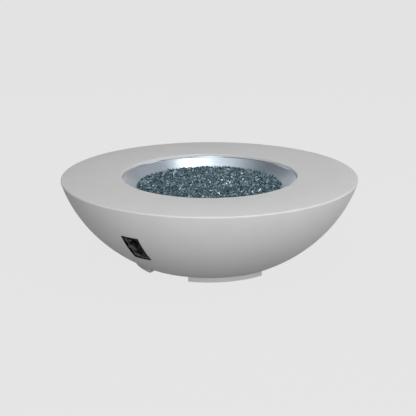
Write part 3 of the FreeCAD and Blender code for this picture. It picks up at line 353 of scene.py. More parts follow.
def band(name, outer, inner, low, high):
    """Closed flat ring between two outlines with as many points."""
    count = len(outer)
    layers = ((outer, low), (outer, high), (inner, high), (inner, low))
    verts = [(x, y, z) for points, z in layers for x, y in points]
    return solid(name, verts, ringed_faces([list(range(k * count, (k + 1) * count)) for k in range(4)]))


def baked(thing):
    """Turn live modifiers into a plain mesh."""
    bpy.context.view_layer.update()
    graph = bpy.context.evaluated_depsgraph_get()
    mesh = bpy.data.meshes.new_from_object(thing.evaluated_get(graph))
    mesh.name = thing.name
    old = thing.data
    thing.modifiers.clear()
    thing.data = mesh
    bpy.data.meshes.remove(old)
    return thing


def modified(thing, kind, **settings):
    """Run one modifier on a piece and keep the plain mesh."""
    modifier = thing.modifiers.new(kind, kind)
    for key, value in settings.items():
        setattr(modifier, key, value)
    return baked(thing)


def combine(thing, other, operation):
    """Boolean of two solids; the second one is used up."""
    modified(thing, "BOOLEAN", operation=operation, solver="EXACT", object=other)
    bpy.data.objects.remove(other)


def place(thing, matrix):
    """Move a mesh itself, so that its object stays at the origin."""
    thing.data.transform(matrix)
    return thing


def panel_matrix(point):
    """Panel frame at a point: x across, y up the slope, z out of the bowl."""
    turn = Matrix((ACROSS, UP_SLOPE, OUTWARD)).transposed().to_4x4()
    return Matrix.Translation(point) @ turn


def span(mesh, direction):
    """Lowest and highest place of a mesh along a direction."""
    places = [direction.dot(vertex.co) for vertex in mesh.vertices]
    return min(places), max(places)


def half_size(mesh, direction):
    """Half of a mesh's size along a direction."""
    low, high = span(mesh, direction)
    return (high - low) / 2


def panel_point():
    """The middle of the panel on the bowl's surface."""
    low, high = span(frame["nodes"]["panel_frame"].data, UP_SLOPE)
    return KNOB_POINT + UP_SLOPE * ((high + low) / 2 - UP_SLOPE.dot(KNOB_POINT))


AT_KNOB, AT_CAP, AT_PANEL = (panel_matrix(point) for point in (KNOB_POINT, CAP_POINT, panel_point()))


def coat(thing, material):
    """Give an object one material in place of any it has."""
    thing.data.materials.clear()
    thing.data.materials.append(material)


def dress(thing, body, finish_name, slot, *nodes):
    """Give a finished piece its finish and body, and hide the nodes it stands for. The slot is not used."""
    coat(thing, finish(finish_name))
    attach(thing, body)
    if nodes:
        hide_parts(*nodes)


# ---- node helpers ----
def add(tree, kind, inputs=None, stops=(), **settings):
    """One node with its settings and colour stops. An input is a value, a socket to link, or a node whose
    first output in use is linked."""
    made = tree.nodes.new(kind)
    for key, value in settings.items():
        setattr(made, key, value)
    for key, value in (inputs or {}).items():
        if isinstance(value, bpy.types.Node):
            value = next(output for output in value.outputs if output.enabled)
        if isinstance(value, bpy.types.NodeSocket):
            tree.links.new(value, made.inputs[key])
        else:
            made.inputs[key].default_value = value
    if stops:
        ends = made.color_ramp.elements
        for element, (position, colour) in ((ends[0], stops[0]), (ends[1], stops[-1])):
            element.position, element.color = position, linear(colour)
        for position, colour in stops[1:-1]:
            ends.new(position).color = linear(colour)
    return made


def empty_tree(owner):
    """The cleared node tree of a material or a world."""
    owner.use_nodes = True
    owner.node_tree.nodes.clear()
    return owner.node_tree


def per_mm(size_mm):
    """Scale of a texture whose features are about a size in millimetres."""
    return 1 / (size_mm * MM)


def tone(colour, factor):
    """A linear colour made lighter or darker."""
    return tuple(part * factor for part in colour[:3])


def seen_directly(tree, share=1.0):
    """1 for camera rays and for what mirrors and clear glass show, times a share; 0 for the light itself."""
    rays = add(tree, "ShaderNodeLightPath").outputs
    seen = rays["Is Camera Ray"]
    for name in ("Is Glossy Ray", "Is Transmission Ray"):
        seen = add(tree, "ShaderNodeMath", {0: seen, 1: rays[name]}, operation="MAXIMUM")
    return add(tree, "ShaderNodeMath", {0: seen, 1: share}, operation="MULTIPLY")


def radius_of(tree, coords):
    """Distance from the bowl's axis."""
    parts = add(tree, "ShaderNodeSeparateXYZ", {"Vector": coords}).outputs
    level = add(tree, "ShaderNodeCombineXYZ", {"X": parts["X"], "Y": parts["Y"]})
    return add(tree, "ShaderNodeVectorMath", {0: level}, operation="LENGTH").outputs["Value"]


# ---- materials: each gives the inputs of its Principled shader ----
BRONZE_TINT = "#75706D"


def sealed_fibre_cement(tree, coords):
    """Cast glass-fibre cement, rubbed and sealed: pale, matt, very faint clouding, sand and pinholes."""
    cast = bpy.context.scene.firebowl_shell.colour
    clouds = add(tree, "ShaderNodeTexNoise", {"Vector": coords, "Scale": per_mm(90), "Detail": 4.0})
    clouded = add(tree, "ShaderNodeValToRGB", {"Fac": clouds},
                  stops=((0.3, tone(cast, 0.975)), (0.7, tone(cast, 1.025))))
    # sand is finer than this, and is drawn at 3 mm so that it shows
    sand = add(tree, "ShaderNodeTexNoise", {"Vector": coords, "Scale": per_mm(3)})
    sanded = add(tree, "ShaderNodeValToRGB", {"Fac": sand}, stops=((0.35, tone(cast, 0.93)), (0.5, cast)))
    rubbed = add(tree, "ShaderNodeTexNoise", {"Vector": coords, "Scale": per_mm(25), "Detail": 3.0})
    return {
        "Base Color": add(tree, "ShaderNodeMix", {0: 0.35, 6: clouded, 7: sanded}, data_type="RGBA"),
        "Roughness": add(tree, "ShaderNodeMapRange", {"Value": rubbed, "To Min": 0.58, "To Max": 0.7}),
        "Normal": add(tree, "ShaderNodeBump", {"Height": sand, "Distance": 0.05 * MM}),
        "Specular IOR Level": 0.3,
    }


def spun_stainless(tree, coords):
    """Stainless sheet spun on a lathe: satin, bluish, with rings left by the tool."""
    settings = bpy.context.scene.firebowl_pan
    steel = settings.colour
    radius = radius_of(tree, coords)
    # the tool leaves a ring every half millimetre or so; they are drawn at 4 mm so that they show
    rings = add(tree, "ShaderNodeTexNoise", {"W": radius, "Scale": per_mm(4)}, noise_dimensions="1D")
    smears = add(tree, "ShaderNodeTexNoise", {"Vector": coords, "Scale": per_mm(60), "Detail": 3.0})
    uneven = add(tree, "ShaderNodeMath", {0: rings, 1: smears}, operation="MULTIPLY")
    satin = add(tree, "ShaderNodeMapRange", {"Value": uneven, "To Min": 0.26, "To Max": 0.44})
    # the flat lip is pressed smooth
    lip = add(tree, "ShaderNodeMath", {0: radius, 1: settings.wall_r}, operation="GREATER_THAN")
    smoother = add(tree, "ShaderNodeMapRange", {"Value": lip, "To Min": 1.0, "To Max": 0.4})
    return {
        "Base Color": add(tree, "ShaderNodeValToRGB", {"Fac": rings},
                          stops=((0.3, tone(steel, 0.93)), (0.7, tone(steel, 1.05)))),
        "Roughness": add(tree, "ShaderNodeMath", {0: satin, 1: smoother}, operation="MULTIPLY"),
        "Normal": add(tree, "ShaderNodeBump", {"Height": rings, "Distance": 0.018 * MM}),
        "Tangent": add(tree, "ShaderNodeTangent", direction_type="RADIAL", axis="Z"),
        "Metallic": 1.0, "Anisotropic": 0.4,
    }


def reflective_fire_glass(tree, coords):
    """Broken tempered glass, blue grey, a few faces mirror-backed: dark gaps, teal faces and sharp glints."""
    settings = bpy.context.scene.firebowl_glass
    shade = add(tree, "ShaderNodeAttribute", attribute_name="shade").outputs["Fac"]
    mirror = add(tree, "ShaderNodeMath", {0: shade, 1: 0.9}, operation="GREATER_THAN")
    flows = add(tree, "ShaderNodeTexNoise", {"Vector": coords, "Scale": per_mm(10)})
    chips = add(tree, "ShaderNodeTexNoise", {"Vector": coords, "Scale": per_mm(3)})
    return {
        # about one piece in thirty keeps the bronze tint of its coating
        "Base Color": add(tree, "ShaderNodeValToRGB", {"Fac": shade}, stops=(
            (0.0, settings.dark), (0.6, settings.middle), (0.78, "#688089"), (0.79, BRONZE_TINT),
            (0.81, BRONZE_TINT), (0.82, "#74909B"), (1.0, settings.light),
        )),
        "Metallic": add(tree, "ShaderNodeMapRange", {"Value": mirror, "To Max": 0.6}),
        "Roughness": add(tree, "ShaderNodeMapRange", {"Value": flows, "To Min": 0.12, "To Max": 0.32}),
        "Normal": add(tree, "ShaderNodeBump", {"Height": chips, "Distance": 0.1 * MM}),
        "IOR": 1.5,
    }


def glass_gap_shade(tree, coords):
    """Packed glass seen down the gaps, in painted shade: darker than any piece, broken and slightly shiny."""
    deep = bpy.context.scene.firebowl_glass.deep
    gaps = add(tree, "ShaderNodeTexNoise", {"Vector": coords, "Scale": per_mm(8)})
    return {
        "Base Color": add(tree, "ShaderNodeValToRGB", {"Fac": gaps},
                          stops=((0.35, deep), (0.65, tone(deep, 3.5)))),
        "Roughness": 0.35, "Specular IOR Level": 0.3,
    }


def plain_finish(tree, coords, dark, light, roughness, metallic, grain_mm, depth_mm, specular=0.5):
    """A moulded, machined or coated finish: two close tones, uneven gloss and a fine relief."""
    cloud = add(tree, "ShaderNodeTexNoise", {"Vector": coords, "Scale": per_mm(grain_mm * 6), "Detail": 3.0})
    grain = add(tree, "ShaderNodeTexNoise", {"Vector": coords, "Scale": per_mm(grain_mm)})
    low, high = roughness - 0.05, roughness + 0.07
    return {
        "Base Color": add(tree, "ShaderNodeValToRGB", {"Fac": cloud}, stops=((0.3, dark), (0.7, light))),
        "Roughness": add(tree, "ShaderNodeMapRange", {"Value": cloud, "To Min": low, "To Max": high}),
        "Normal": add(tree, "ShaderNodeBump", {"Height": grain, "Distance": depth_mm * MM}),
        "Metallic": metallic, "Specular IOR Level": specular,
    }


FINISHES = {
    # dark and light colour, roughness, metallic, grain in mm, relief in mm, and specular if not 0.5
    # powder coat: stoved polyester with a fine orange peel
    "black_powder_coat": ("#050505", "#100F0E", 0.4, 0.0, 1.2, 0.02, 0.05),
    # phenolic: compression moulded black, satin
    "moulded_phenolic": ("#060606", "#0E0E0F", 0.4, 0.0, 1.5, 0.01, 0.1),
    # knob's inset face: dark grey, matt
    "face_inset_grey": ("#2B2C2D", "#353637", 0.6, 0.0, 1.5, 0.01, 0.2),
    # ABS: injection moulded, satin
    "moulded_abs": ("#222426", "#2A2C2E", 0.4, 0.0, 2.0, 0.01, 0.3),
    # free-cutting brass: turned, with a dull warm bloom
    "turned_brass": ("#B08D4A", "#C9A861", 0.3, 1.0, 2.0, 0.01),
    # zinc plate: bright, faintly blue and cloudy
    "zinc_plated_steel": ("#A9ADB1", "#C1C4C7", 0.34, 1.0, 2.5, 0.01),
    # black oxide: oiled blackened steel screws
    "black_oxide_steel": ("#1B1B1D", "#29292B", 0.38, 0.8, 1.0, 0.01),
    # die-cast aluminium: pale grey with a sandy skin
    "die_cast_aluminium": ("#A6A7A6", "#BDBEBD", 0.5, 1.0, 1.0, 0.03),
    # extruded nitrile hose: dark, matt, faintly ribbed
    "extruded_rubber": ("#161616", "#1E1E1E", 0.6, 0.0, 1.5, 0.03),
    # moulded rubber pad: dark and dull
    "moulded_rubber": ("#181818", "#222222", 0.7, 0.0, 1.0, 0.03),
    # burner tube: stainless with a straw heat tint
    "heat_tinted_stainless": ("#8F7F6C", "#B3AAA0", 0.4, 1.0, 6.0, 0.01),
    # drawn copper capillary: warm metal with a soft shine
    "drawn_copper": ("#A8683F", "#C58457", 0.32, 1.0, 2.0, 0.01),
    # silicone sleeve over the spark lead: pale and waxy
    "silicone_sleeve": ("#B9B3A5", "#C9C4B8", 0.55, 0.0, 1.5, 0.02),
    # glazed alumina insulator: white and glossy
    "glazed_alumina": ("#DEDCD5", "#ECEAE4", 0.18, 0.0, 3.0, 0.005),
    # hard-drawn spring wire: grey, with a fine bright grain
    "spring_wire": ("#8F9194", "#A9ABAE", 0.3, 1.0, 0.8, 0.01),
    # plain battery jacket: dark, smooth film
    "battery_jacket": ("#3A3E44", "#474C53", 0.35, 0.3, 2.0, 0.01),
    # ink printed on the plate: pale and flat
    "screen_print": ("#D4D7CF", "#E0E3DB", 0.55, 0.0, 1.0, 0.005, 0.3),
}
SLOT_FINISH = {
    "pad_rubber": "moulded_rubber", "burner_steel": "heat_tinted_stainless",
    "panel_black": "black_powder_coat", "knob_plastic": "moulded_phenolic",
    "igniter_plastic": "moulded_abs", "brass": "turned_brass", "machined_steel": "zinc_plated_steel",
    "black_screws": "black_oxide_steel", "plated_screws": "zinc_plated_steel", "spring_steel": "spring_wire",
    "mixer_aluminium": "die_cast_aluminium", "hose_rubber": "extruded_rubber", "copper_lead": "drawn_copper",
    "wire_sleeve": "silicone_sleeve", "ceramic": "glazed_alumina", "battery_label": "battery_jacket",
    "pan_steel": "spun_stainless", "cast_stone": "sealed_fibre_cement", "crushed_glass": "glass_gap_shade",
}
SPECIAL = {
    made.__name__: made for made in (spun_stainless, sealed_fibre_cement, reflective_fire_glass, glass_gap_shade)
}


def finish(name):
    """The material of a finish, made once."""
    if name in bpy.data.materials:
        return bpy.data.materials[name]
    material = bpy.data.materials.new(name)
    tree = empty_tree(material)
    coords = add(tree, "ShaderNodeTexCoord").outputs["Object"]
    given = SPECIAL[name](tree, coords) if name in SPECIAL else plain_finish(tree, coords, *FINISHES[name])
    shader = add(tree, "ShaderNodeBsdfPrincipled", given)
    add(tree, "ShaderNodeOutputMaterial", {"Surface": shader})
    return material


# ---- groups that repeat a piece ----
def new_tree(name, sockets):
    """A Geometry Nodes group with named inputs of given kinds, and those inputs inside it."""
    tree = bpy.data.node_groups.new(name, "GeometryNodeTree")
    for label, kind in sockets:
        tree.interface.new_socket(label, in_out="INPUT", socket_type="NodeSocket" + kind)
    tree.interface.new_socket("Pieces", in_out="OUTPUT", socket_type="NodeSocketGeometry")
    return tree, add(tree, "NodeGroupInput").outputs


def end_tree(tree, placed, material):
    """Make the placed pieces real, in one material, as what the group gives."""
    real = add(tree, "GeometryNodeRealizeInstances", {0: placed})
    add(tree, "NodeGroupOutput", {
        0: add(tree, "GeometryNodeSetMaterial", {"Geometry": real, "Material": material}),
    })


def repeated(piece, tree, values):
    """Run a group on a piece with values given by socket name, and keep the plain mesh."""
    modifier = piece.modifiers.new(tree.name, "NODES")
    modifier.node_group = tree
    for item in tree.interface.items_tree:
        if item.item_type == "SOCKET" and item.in_out == "INPUT" and values.get(item.name) is not None:
            modifier[item.identifier] = values[item.name]
    return baked(piece)


def along_arc(piece, name, count, radius, start=0.0, step=None, material=None):
    """Copies of a piece along an arc, or all round if no step is given, each facing out from the centre."""
    tree, given = new_tree(name, (
        ("Piece", "Geometry"), ("Count", "Int"), ("Radius", "Float"), ("Start", "Float"), ("Step", "Float"),
        ("Finish", "Material"),
    ))
    index = add(tree, "GeometryNodeInputIndex")
    turned = add(tree, "ShaderNodeMath", {0: index, 1: given["Step"], 2: given["Start"]},
                 operation="MULTIPLY_ADD")
    flat = []
    for operation in ("COSINE", "SINE"):
        part = add(tree, "ShaderNodeMath", {0: turned}, operation=operation)
        flat.append(add(tree, "ShaderNodeMath", {0: part, 1: given["Radius"]}, operation="MULTIPLY"))
    spot = add(tree, "ShaderNodeCombineXYZ", {"X": flat[0], "Y": flat[1]})
    placed = add(tree, "GeometryNodeInstanceOnPoints", {
        "Points": add(tree, "GeometryNodePoints", {"Count": given["Count"], "Position": spot}),
        "Instance": given["Piece"],
        "Rotation": add(tree, "ShaderNodeCombineXYZ", {"Z": turned}),
    })
    end_tree(tree, placed, given["Finish"])
    return repeated(piece, tree, {
        "Count": count, "Radius": radius, "Start": start, "Step": step or math.tau / count,
        "Finish": material,
    })


def at_corners(piece, name, width, height, material):
    """Copies of a piece at the four corners of a rectangle."""
    tree, given = new_tree(name, (
        ("Piece", "Geometry"), ("Width", "Float"), ("Height", "Float"), ("Finish", "Material"),
    ))
    grid = add(tree, "GeometryNodeMeshGrid", {
        "Size X": given["Width"], "Size Y": given["Height"], "Vertices X": 2, "Vertices Y": 2,
    })
    placed = add(tree, "GeometryNodeInstanceOnPoints", {"Points": grid, "Instance": given["Piece"]})
    end_tree(tree, placed, given["Finish"])
    return repeated(piece, tree, {"Width": width, "Height": height, "Finish": material})


# ---- shell ----
# rounding of the access hole's edge and of the panel's cut-out
CAST_EDGE = 3 * MM


def shell_corners(s):
    """Corners of the cast shell: rim, outside, underside, inside and the stepped opening."""
    def at(z, inset=0.0):
        lift = (z - s.shape_z) / (s.shape_b - inset)
        return (s.shape_a - inset) * math.sqrt(1 - lift * lift)

    def side(z_from, z_to, steps, inset=0.0):
        levels = [z_from + (z_to - z_from) * i / steps for i in range(steps + 1)]
        return [(at(z, inset), z) for z in levels]

    floor = s.foot_height + s.wall
    rim_low = HEIGHT - s.rim_thick
    ledge = HEIGHT - s.ledge_depth
    throat = s.opening - s.ledge_width
    return [
        (s.opening, HEIGHT, s.opening_round), (at(HEIGHT), HEIGHT, s.rim_round),
        *side(HEIGHT - 2 * s.rim_round, s.foot_height, steps=44),
        (s.access, s.foot_height, CAST_EDGE), (s.access, floor, CAST_EDGE),
        *side(floor, rim_low, steps=24, inset=s.wall),
        (throat - (ledge - rim_low), rim_low), (throat, ledge), (s.opening, ledge),
    ]


def foot(s):
    """One cast foot: an arc whose two ends are cut along the straight slots."""
    into_shell, edge = 4 * MM, 1.5 * MM
    half, steps = s.foot_slot / 2, 24
    points = []
    for radius, order in ((s.foot_outer, 1), (s.foot_inner, -1)):
        first = math.asin(half / radius)
        turns = [first + (math.pi / 2 - 2 * first) * i / steps for i in range(steps + 1)]
        points += [(radius * math.cos(turn), radius * math.sin(turn)) for turn in turns[::order]]
    block = slab("foot", points, SHELL_LOW.z, s.foot_height + into_shell)
    sharp = math.radians(60)
    return modified(block, "BEVEL", width=edge, segments=2, limit_method="ANGLE", angle_limit=sharp)


def cut_out_block():
    """A block through the shell at the panel, a little larger than the frame's sleeve."""
    flange, clearance, deep, proud = 2.4 * MM, 0.3 * MM, 50 * MM, 30 * MM
    low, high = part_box("panel_frame")
    wide = (high.x - low.x) / 2 - flange + clearance
    tall = half_size(frame["nodes"]["panel_frame"].data, UP_SLOPE) - flange + clearance
    block = slab("cut_out", rounded(wide, tall, CAST_EDGE, steps=6), -deep, proud)
    return place(block, AT_PANEL)


def build_shell(s):
    shell = lathe("cast_shell", shell_corners(s), segments=384)
    for quarter in range(4):
        combine(shell, place(foot(s), Matrix.Rotation(math.pi / 2 * quarter, 4, "Z")), "UNION")
    combine(shell, cut_out_block(), "DIFFERENCE")
    smooth(shell)
    dress(shell, "root", "sealed_fibre_cement", "cast_stone", "bowl_shell")


# ---- pan and glass ----
def pan_level(s, radius):
    """Height of the pan's shallow wall at a radius, counted down from the lip that lies on the ledge."""
    lip_z = HEIGHT - bpy.context.scene.firebowl_shell.ledge_depth + s.lip_gap + s.sheet
    return lip_z - (s.wall_r - radius) * math.tan(s.slope)


def build_pan(s):
    """Spun pan with a hemmed lip, and the holes that let rain out."""
    lip_z = pan_level(s, s.wall_r)
    line = [
        (0, s.floor_z), (s.floor_r, s.floor_z), (s.knee_r, pan_level(s, s.knee_r)), (s.wall_r, lip_z),
        (s.lip_r, lip_z),
    ]
    above = [0, s.bend, s.knee_bend, s.lip_bend, 0]
    below = [0, s.bend + s.sheet, s.knee_bend - s.sheet, s.lip_bend - s.sheet, 0]
    section = [(*corner, bend) for corner, bend in zip(line, above)]
    under = [(*corner, bend) for corner, bend in zip(moved_square(line, -s.sheet), below)]
    segments = 320
    pan = lathe("spun_pan", section + under[::-1], segments, steps=10)
    hem = [(s.lip_r + x, lip_z - s.sheet + s.hem + y) for x, y in circle(s.hem, count=20)]
    combine(pan, lathe("hem", hem, segments), "UNION")
    drain = rod("drain", s.drain_r, s.floor_z - 3 * s.sheet, s.floor_z + s.sheet, segments=24)
    combine(pan, along_arc(drain, "Round the drains", s.drains, s.drain_circle), "DIFFERENCE")
    smooth(pan)
    dress(pan, "root", "spun_stainless", "pan_steel", "fire_dish")


# how far a piece's points lie from its middle, how many the simplest piece has, and the range of sizes
PIECE_REACH = (0.5, 0.5, 0.38)
FEWEST_POINTS = 7
SMALLEST, LARGEST = 0.65, 1.45


def glass_tree(s):
    """Pieces of broken glass scattered over a surface: convex hulls of a few random points."""
    tree, given = new_tree("Crushed glass", (
        ("Surface", "Geometry"), ("Density", "Float"), ("Piece size", "Float"), ("Depth", "Float"),
        ("Stand up", "Float"), ("Seed", "Int"), ("Glass", "Material"),
    ))
    shapes = add(tree, "GeometryNodeJoinGeometry")
    for i in range(s.variants):
        spot = add(tree, "FunctionNodeRandomValue", {
            0: [-part for part in PIECE_REACH], 1: PIECE_REACH, "Seed": 100 + i,
        }, data_type="FLOAT_VECTOR")
        cloud = add(tree, "GeometryNodePoints", {"Count": FEWEST_POINTS + i % 3, "Position": spot})
        hull = add(tree, "GeometryNodeConvexHull", {0: cloud})
        one = add(tree, "GeometryNodeGeometryToInstance", {0: hull})
        tree.links.new(one.outputs[0], shapes.inputs[0])
    scatter = add(tree, "GeometryNodeDistributePointsOnFaces", {
        "Mesh": given["Surface"], "Density": given["Density"], "Seed": given["Seed"],
    })
    depth = add(tree, "ShaderNodeMath", {0: given["Depth"], 1: -1.0}, operation="MULTIPLY")
    sink = add(tree, "FunctionNodeRandomValue", {
        0: add(tree, "ShaderNodeCombineXYZ", {"Z": depth}),
        1: add(tree, "ShaderNodeCombineXYZ", {"Z": given["Stand up"]}), "Seed": 31,
    }, data_type="FLOAT_VECTOR")
    spin = add(tree, "FunctionNodeRandomValue", {0: [0.0] * 3, 1: [math.tau] * 3, "Seed": 5},
               data_type="FLOAT_VECTOR")
    grade = add(tree, "FunctionNodeRandomValue", {2: SMALLEST, 3: LARGEST, "Seed": 11}, data_type="FLOAT")
    shade = add(tree, "FunctionNodeRandomValue", {2: 0.0, 3: 1.0, "Seed": 23}, data_type="FLOAT")
    placed = add(tree, "GeometryNodeInstanceOnPoints", {
        "Points": add(tree, "GeometryNodeSetPosition", {"Geometry": scatter, "Offset": sink}),
        "Instance": shapes, "Pick Instance": True, "Rotation": spin,
        "Scale": add(tree, "ShaderNodeMath", {0: grade, 1: given["Piece size"]}, operation="MULTIPLY"),
    })
    shaded = add(tree, "GeometryNodeStoreNamedAttribute", {
        "Geometry": placed, "Name": "shade", "Value": shade,
    }, data_type="FLOAT", domain="INSTANCE")
    end_tree(tree, shaded, given["Glass"])
    return tree


def bed_height(s, radius):
    """Height of the glass bed's surface at a radius: it meets the pan's wall at its edge."""
    edge = pan_level(bpy.context.scene.firebowl_pan, s.edge_r)
    return edge + s.crown * (1 - (radius / s.edge_r) ** 2)


def build_glass(s):
    """Packed core of the bed, in painted shade, and loose pieces over it."""
    from_wall, core_drop, scatter_drop, core_foot_r = 4 * MM, 9 * MM, 2 * MM, 200 * MM
    steps, segments = 16, 96
    radii = [(s.edge_r - from_wall) * i / steps for i in range(steps + 1)]
    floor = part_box("fire_glass")[0].z + MM

    def bed(drop):
        return [(r, bed_height(s, r) - drop) for r in radii]

    # the core is a dark dome in painted shade, which shows through the gaps between the pieces
    core = lathe("packed_glass", bed(core_drop) + [(core_foot_r, floor), (0, floor)], segments)
    smooth(core, angle_deg=60)
    dress(core, "root", "glass_gap_shade", "crushed_glass")

    surface = lathe("crushed_glass", bed(scatter_drop) + [(0, floor)], segments)
    # pieces lie only on faces that look up at least this much
    least_rise = 0.2
    with edited(surface.data) as work:
        down = [face for face in work.faces if face.normal.z < least_rise]
        bmesh.ops.delete(work, geom=down, context="FACES")
    repeated(surface, glass_tree(s), {
        "Density": float(s.pieces), "Piece size": s.piece, "Depth": 6 * MM, "Stand up": 3 * MM,
        "Seed": s.seed, "Glass": finish("reflective_fire_glass"),
    })
    dress(surface, "root", "reflective_fire_glass", "crushed_glass", "fire_glass")


# ---- controls ----
def build_knob(s):
    """Moulded knob: skirt, finger grooves, a grey face let into the top and a painted pointer."""
    r, low, top = s.knob_r, s.skirt_low, s.knob_top
    hub_r, hollow = 6.5 * MM, top - 3 * MM
    knob = lathe("knob_moulding", [
        (0, low + MM), (hub_r, low + MM), (hub_r, hollow), (r - 3 * MM, hollow),
        (r - 2.4 * MM, low), (r, low, 0.4 * MM), (r, low + 2 * MM, 0.8 * MM),
        (r - 1.2 * MM, low + 3.2 * MM, 0.8 * MM), (r - 1.7 * MM, top, 1.1 * MM),
        (r - 3.1 * MM, top, 0.2 * MM), (r - 3.1 * MM, top - MM), (0, top - MM),
    ], segments=180, steps=5)
    groove = rod("groove", s.flute_r, low + 3 * MM, top + MM, segments=20)
    grooves = along_arc(groove, "Round the knob", s.flutes, r - 0.5 * MM, start=math.pi / s.flutes)
    combine(knob, grooves, "DIFFERENCE")
    smooth(knob, angle_deg=40)
    dress(place(knob, AT_KNOB), "knob_set", "moulded_phenolic", "knob_plastic", "knob")

    face_r = r - 3.2 * MM
    face = lathe("knob_face", [
        (0, top - MM), (face_r, top - MM), (face_r, top - 0.3 * MM, 0.3 * MM),
        (face_r - 2 * MM, top - 0.5 * MM, 0.5 * MM), (0, top - 0.7 * MM),
    ], segments=128, steps=4)
    half, inner, outer = 0.75 * MM, 4 * MM, r - 3.6 * MM
    line = oblong(-half, half, inner, outer)
    slot_floor, paint_top = top - 0.85 * MM, top - 0.72 * MM
    combine(face, slab("slot", line, slot_floor, top + MM), "DIFFERENCE")
    smooth(face, angle_deg=40)
    dress(place(face, AT_KNOB), "knob_set", "face_inset_grey", "knob_plastic")
    pointer = place(slab("pointer_paint", line, slot_floor, paint_top), AT_KNOB)
    dress(pointer, "knob_set", "screen_print", "knob_plastic")


def build_igniter(s):
    """Igniter cap with a gripped edge, and its domed button."""
    r, top, button_r = s.cap_r, s.cap_top, s.button_r
    low, inside = -3 * MM, 1.5 * MM
    hole_r, bore_r = button_r + 0.4 * MM, 9.8 * MM
    cap = lathe("igniter_cap_moulding", [
        (bore_r, low), (r - 0.3 * MM, low, 0.3 * MM), (r, low + 0.6 * MM), (r - 0.3 * MM, top, MM),
        (hole_r, top - 0.4 * MM, 0.5 * MM), (hole_r, inside), (bore_r, inside),
    ], segments=160, steps=5)
    notch_r, notch_low, notch_high = 0.9 * MM, -5 * MM, 2.4 * MM
    notch = rod("notch", notch_r, notch_low, notch_high, segments=16)
    combine(cap, along_arc(notch, "Round the cap", s.notches, r + 0.25 * MM), "DIFFERENCE")
    smooth(cap, angle_deg=40)
    dress(place(cap, AT_CAP), "battery_cap", "moulded_phenolic", "igniter_plastic", "igniter_cap")

    flange_r = 8.3 * MM
    button = lathe("igniter_button_moulding", [
        (0, -MM), (flange_r, -MM), (flange_r, MM), (button_r, MM),
        (button_r, s.button_top - 0.2 * MM, 1.4 * MM), (0, s.button_top - 0.8 * MM),
    ], segments=128, steps=6)
    smooth(button, angle_deg=40)
    dress(place(button, AT_CAP), "button", "moulded_abs", "igniter_plastic", "igniter_button")


def build_springs():
    """The two springs under the knob and the button."""
    for node, joint in (("stem_spring", "knob_push"), ("button_spring", "igniter_push")):
        mesh = bpy.data.meshes.new(node + "_wire")
        with edited(mesh, frame["nodes"][node].data) as wire:
            bmesh.ops.remove_doubles(wire, verts=wire.verts, dist=SAME_POINT)
        spring = new_object(node + "_coil", mesh)
        smooth(spring, angle_deg=60)
        dress(spring, "root", "spring_wire", "spring_steel", node)
        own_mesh(spring)


def build_printing(s):
    """Pale border and ticks printed on the plate."""
    plate = frame["nodes"]["panel_plate"].data
    half_wide, half_tall = half_size(plate, ACROSS), half_size(plate, UP_SLOPE)
    low, high = s.plate_face - 0.02 * MM, s.plate_face + 0.08 * MM
    corner, inside = 4 * MM, s.print_in + s.print_width
    outer = rounded(half_wide - s.print_in, half_tall - s.print_in, corner)
    inner = rounded(half_wide - inside, half_tall - inside, corner - s.print_width)
    border = place(band("printed_border", outer, inner, low, high), AT_PANEL)
    dress(border, "root", "screen_print", "panel_black")
    tick_long, tick_half = 2.6 * MM, 0.35 * MM
    tick = slab("printed_ticks", oblong(0, tick_long, -tick_half, tick_half), low, high)
    ticks = along_arc(
        tick, "Dial ticks", s.ticks, s.knob_r + 1.6 * MM, math.pi / 2, math.pi / (s.ticks - 1),
        finish("screen_print"),
    )
    dress(place(ticks, AT_KNOB), "root", "screen_print", "panel_black")


def build_screws(s):
    """Pan-head screws with a cross recess at the plate's corners."""
    low, top = s.plate_face, s.plate_face + s.screw_top
    screw = lathe("panel_screw_heads", [
        (0, low), (s.screw_r, low), (s.screw_r, top, 1.1 * MM), (0, top)
    ], segments=40, steps=6)
    arm_half, arm_reach, arm_deep = 0.35 * MM, 1.5 * MM, 1.1 * MM
    for turn in (math.pi / 4, -math.pi / 4):
        arm = slab("arm", oblong(-arm_half, arm_half, -arm_reach, arm_reach), top - arm_deep, top + MM)
        combine(screw, place(arm, Matrix.Rotation(turn, 4, "Z")), "DIFFERENCE")
    heads = frame["nodes"]["panel_screws"].data
    width, height = (2 * (half_size(heads, way) - s.screw_r) for way in (ACROSS, UP_SLOPE))
    four = at_corners(screw, "Four corners", width, height, finish("black_oxide_steel"))
    smooth(four)
    dress(place(four, AT_PANEL), "root", "black_oxide_steel", "black_screws", "panel_screws")


# ---- stage ----
FLOOR_R, FLOOR_THICK = 30.0, 0.01
SENSOR_MM = 36
LAMPS = (
    # name, metres towards the camera, to its right and up, size in metres, watts
    ("key_lamp", -0.8, 0.45, 3.2, 0.5, 7),
    ("top_lamp", 0.0, 0.0, 3.2, 3.0, 25),
    ("front_lamp", 3.2, 0.0, 2.0, 2.5, 70),
    ("low_lamp", 3.6, 0.0, 0.7, 2.0, 35),
    ("right_lamp", 2.0, 3.0, 1.8, 2.0, 26),
    ("side_lamp", 0.0, 3.6, 1.5, 2.0, 40),
    ("left_lamp", 1.5, -3.2, 0.3, 1.2, 8),
    ("back_left_lamp", -2.6, -2.4, 2.0, 2.0, 14),
    ("back_right_lamp", -2.6, 1.8, 2.5, 2.0, 5),
)


def view_axes(s):
    """Camera right, and the direction from the aim point to the camera."""
    right = Vector((math.cos(s.azimuth), math.sin(s.azimuth), 0))
    flat = Vector((math.sin(s.azimuth), -math.cos(s.azimuth), 0))
    back = flat * math.cos(s.elevation) + Vector((0, 0, math.sin(s.elevation)))
    return right, back


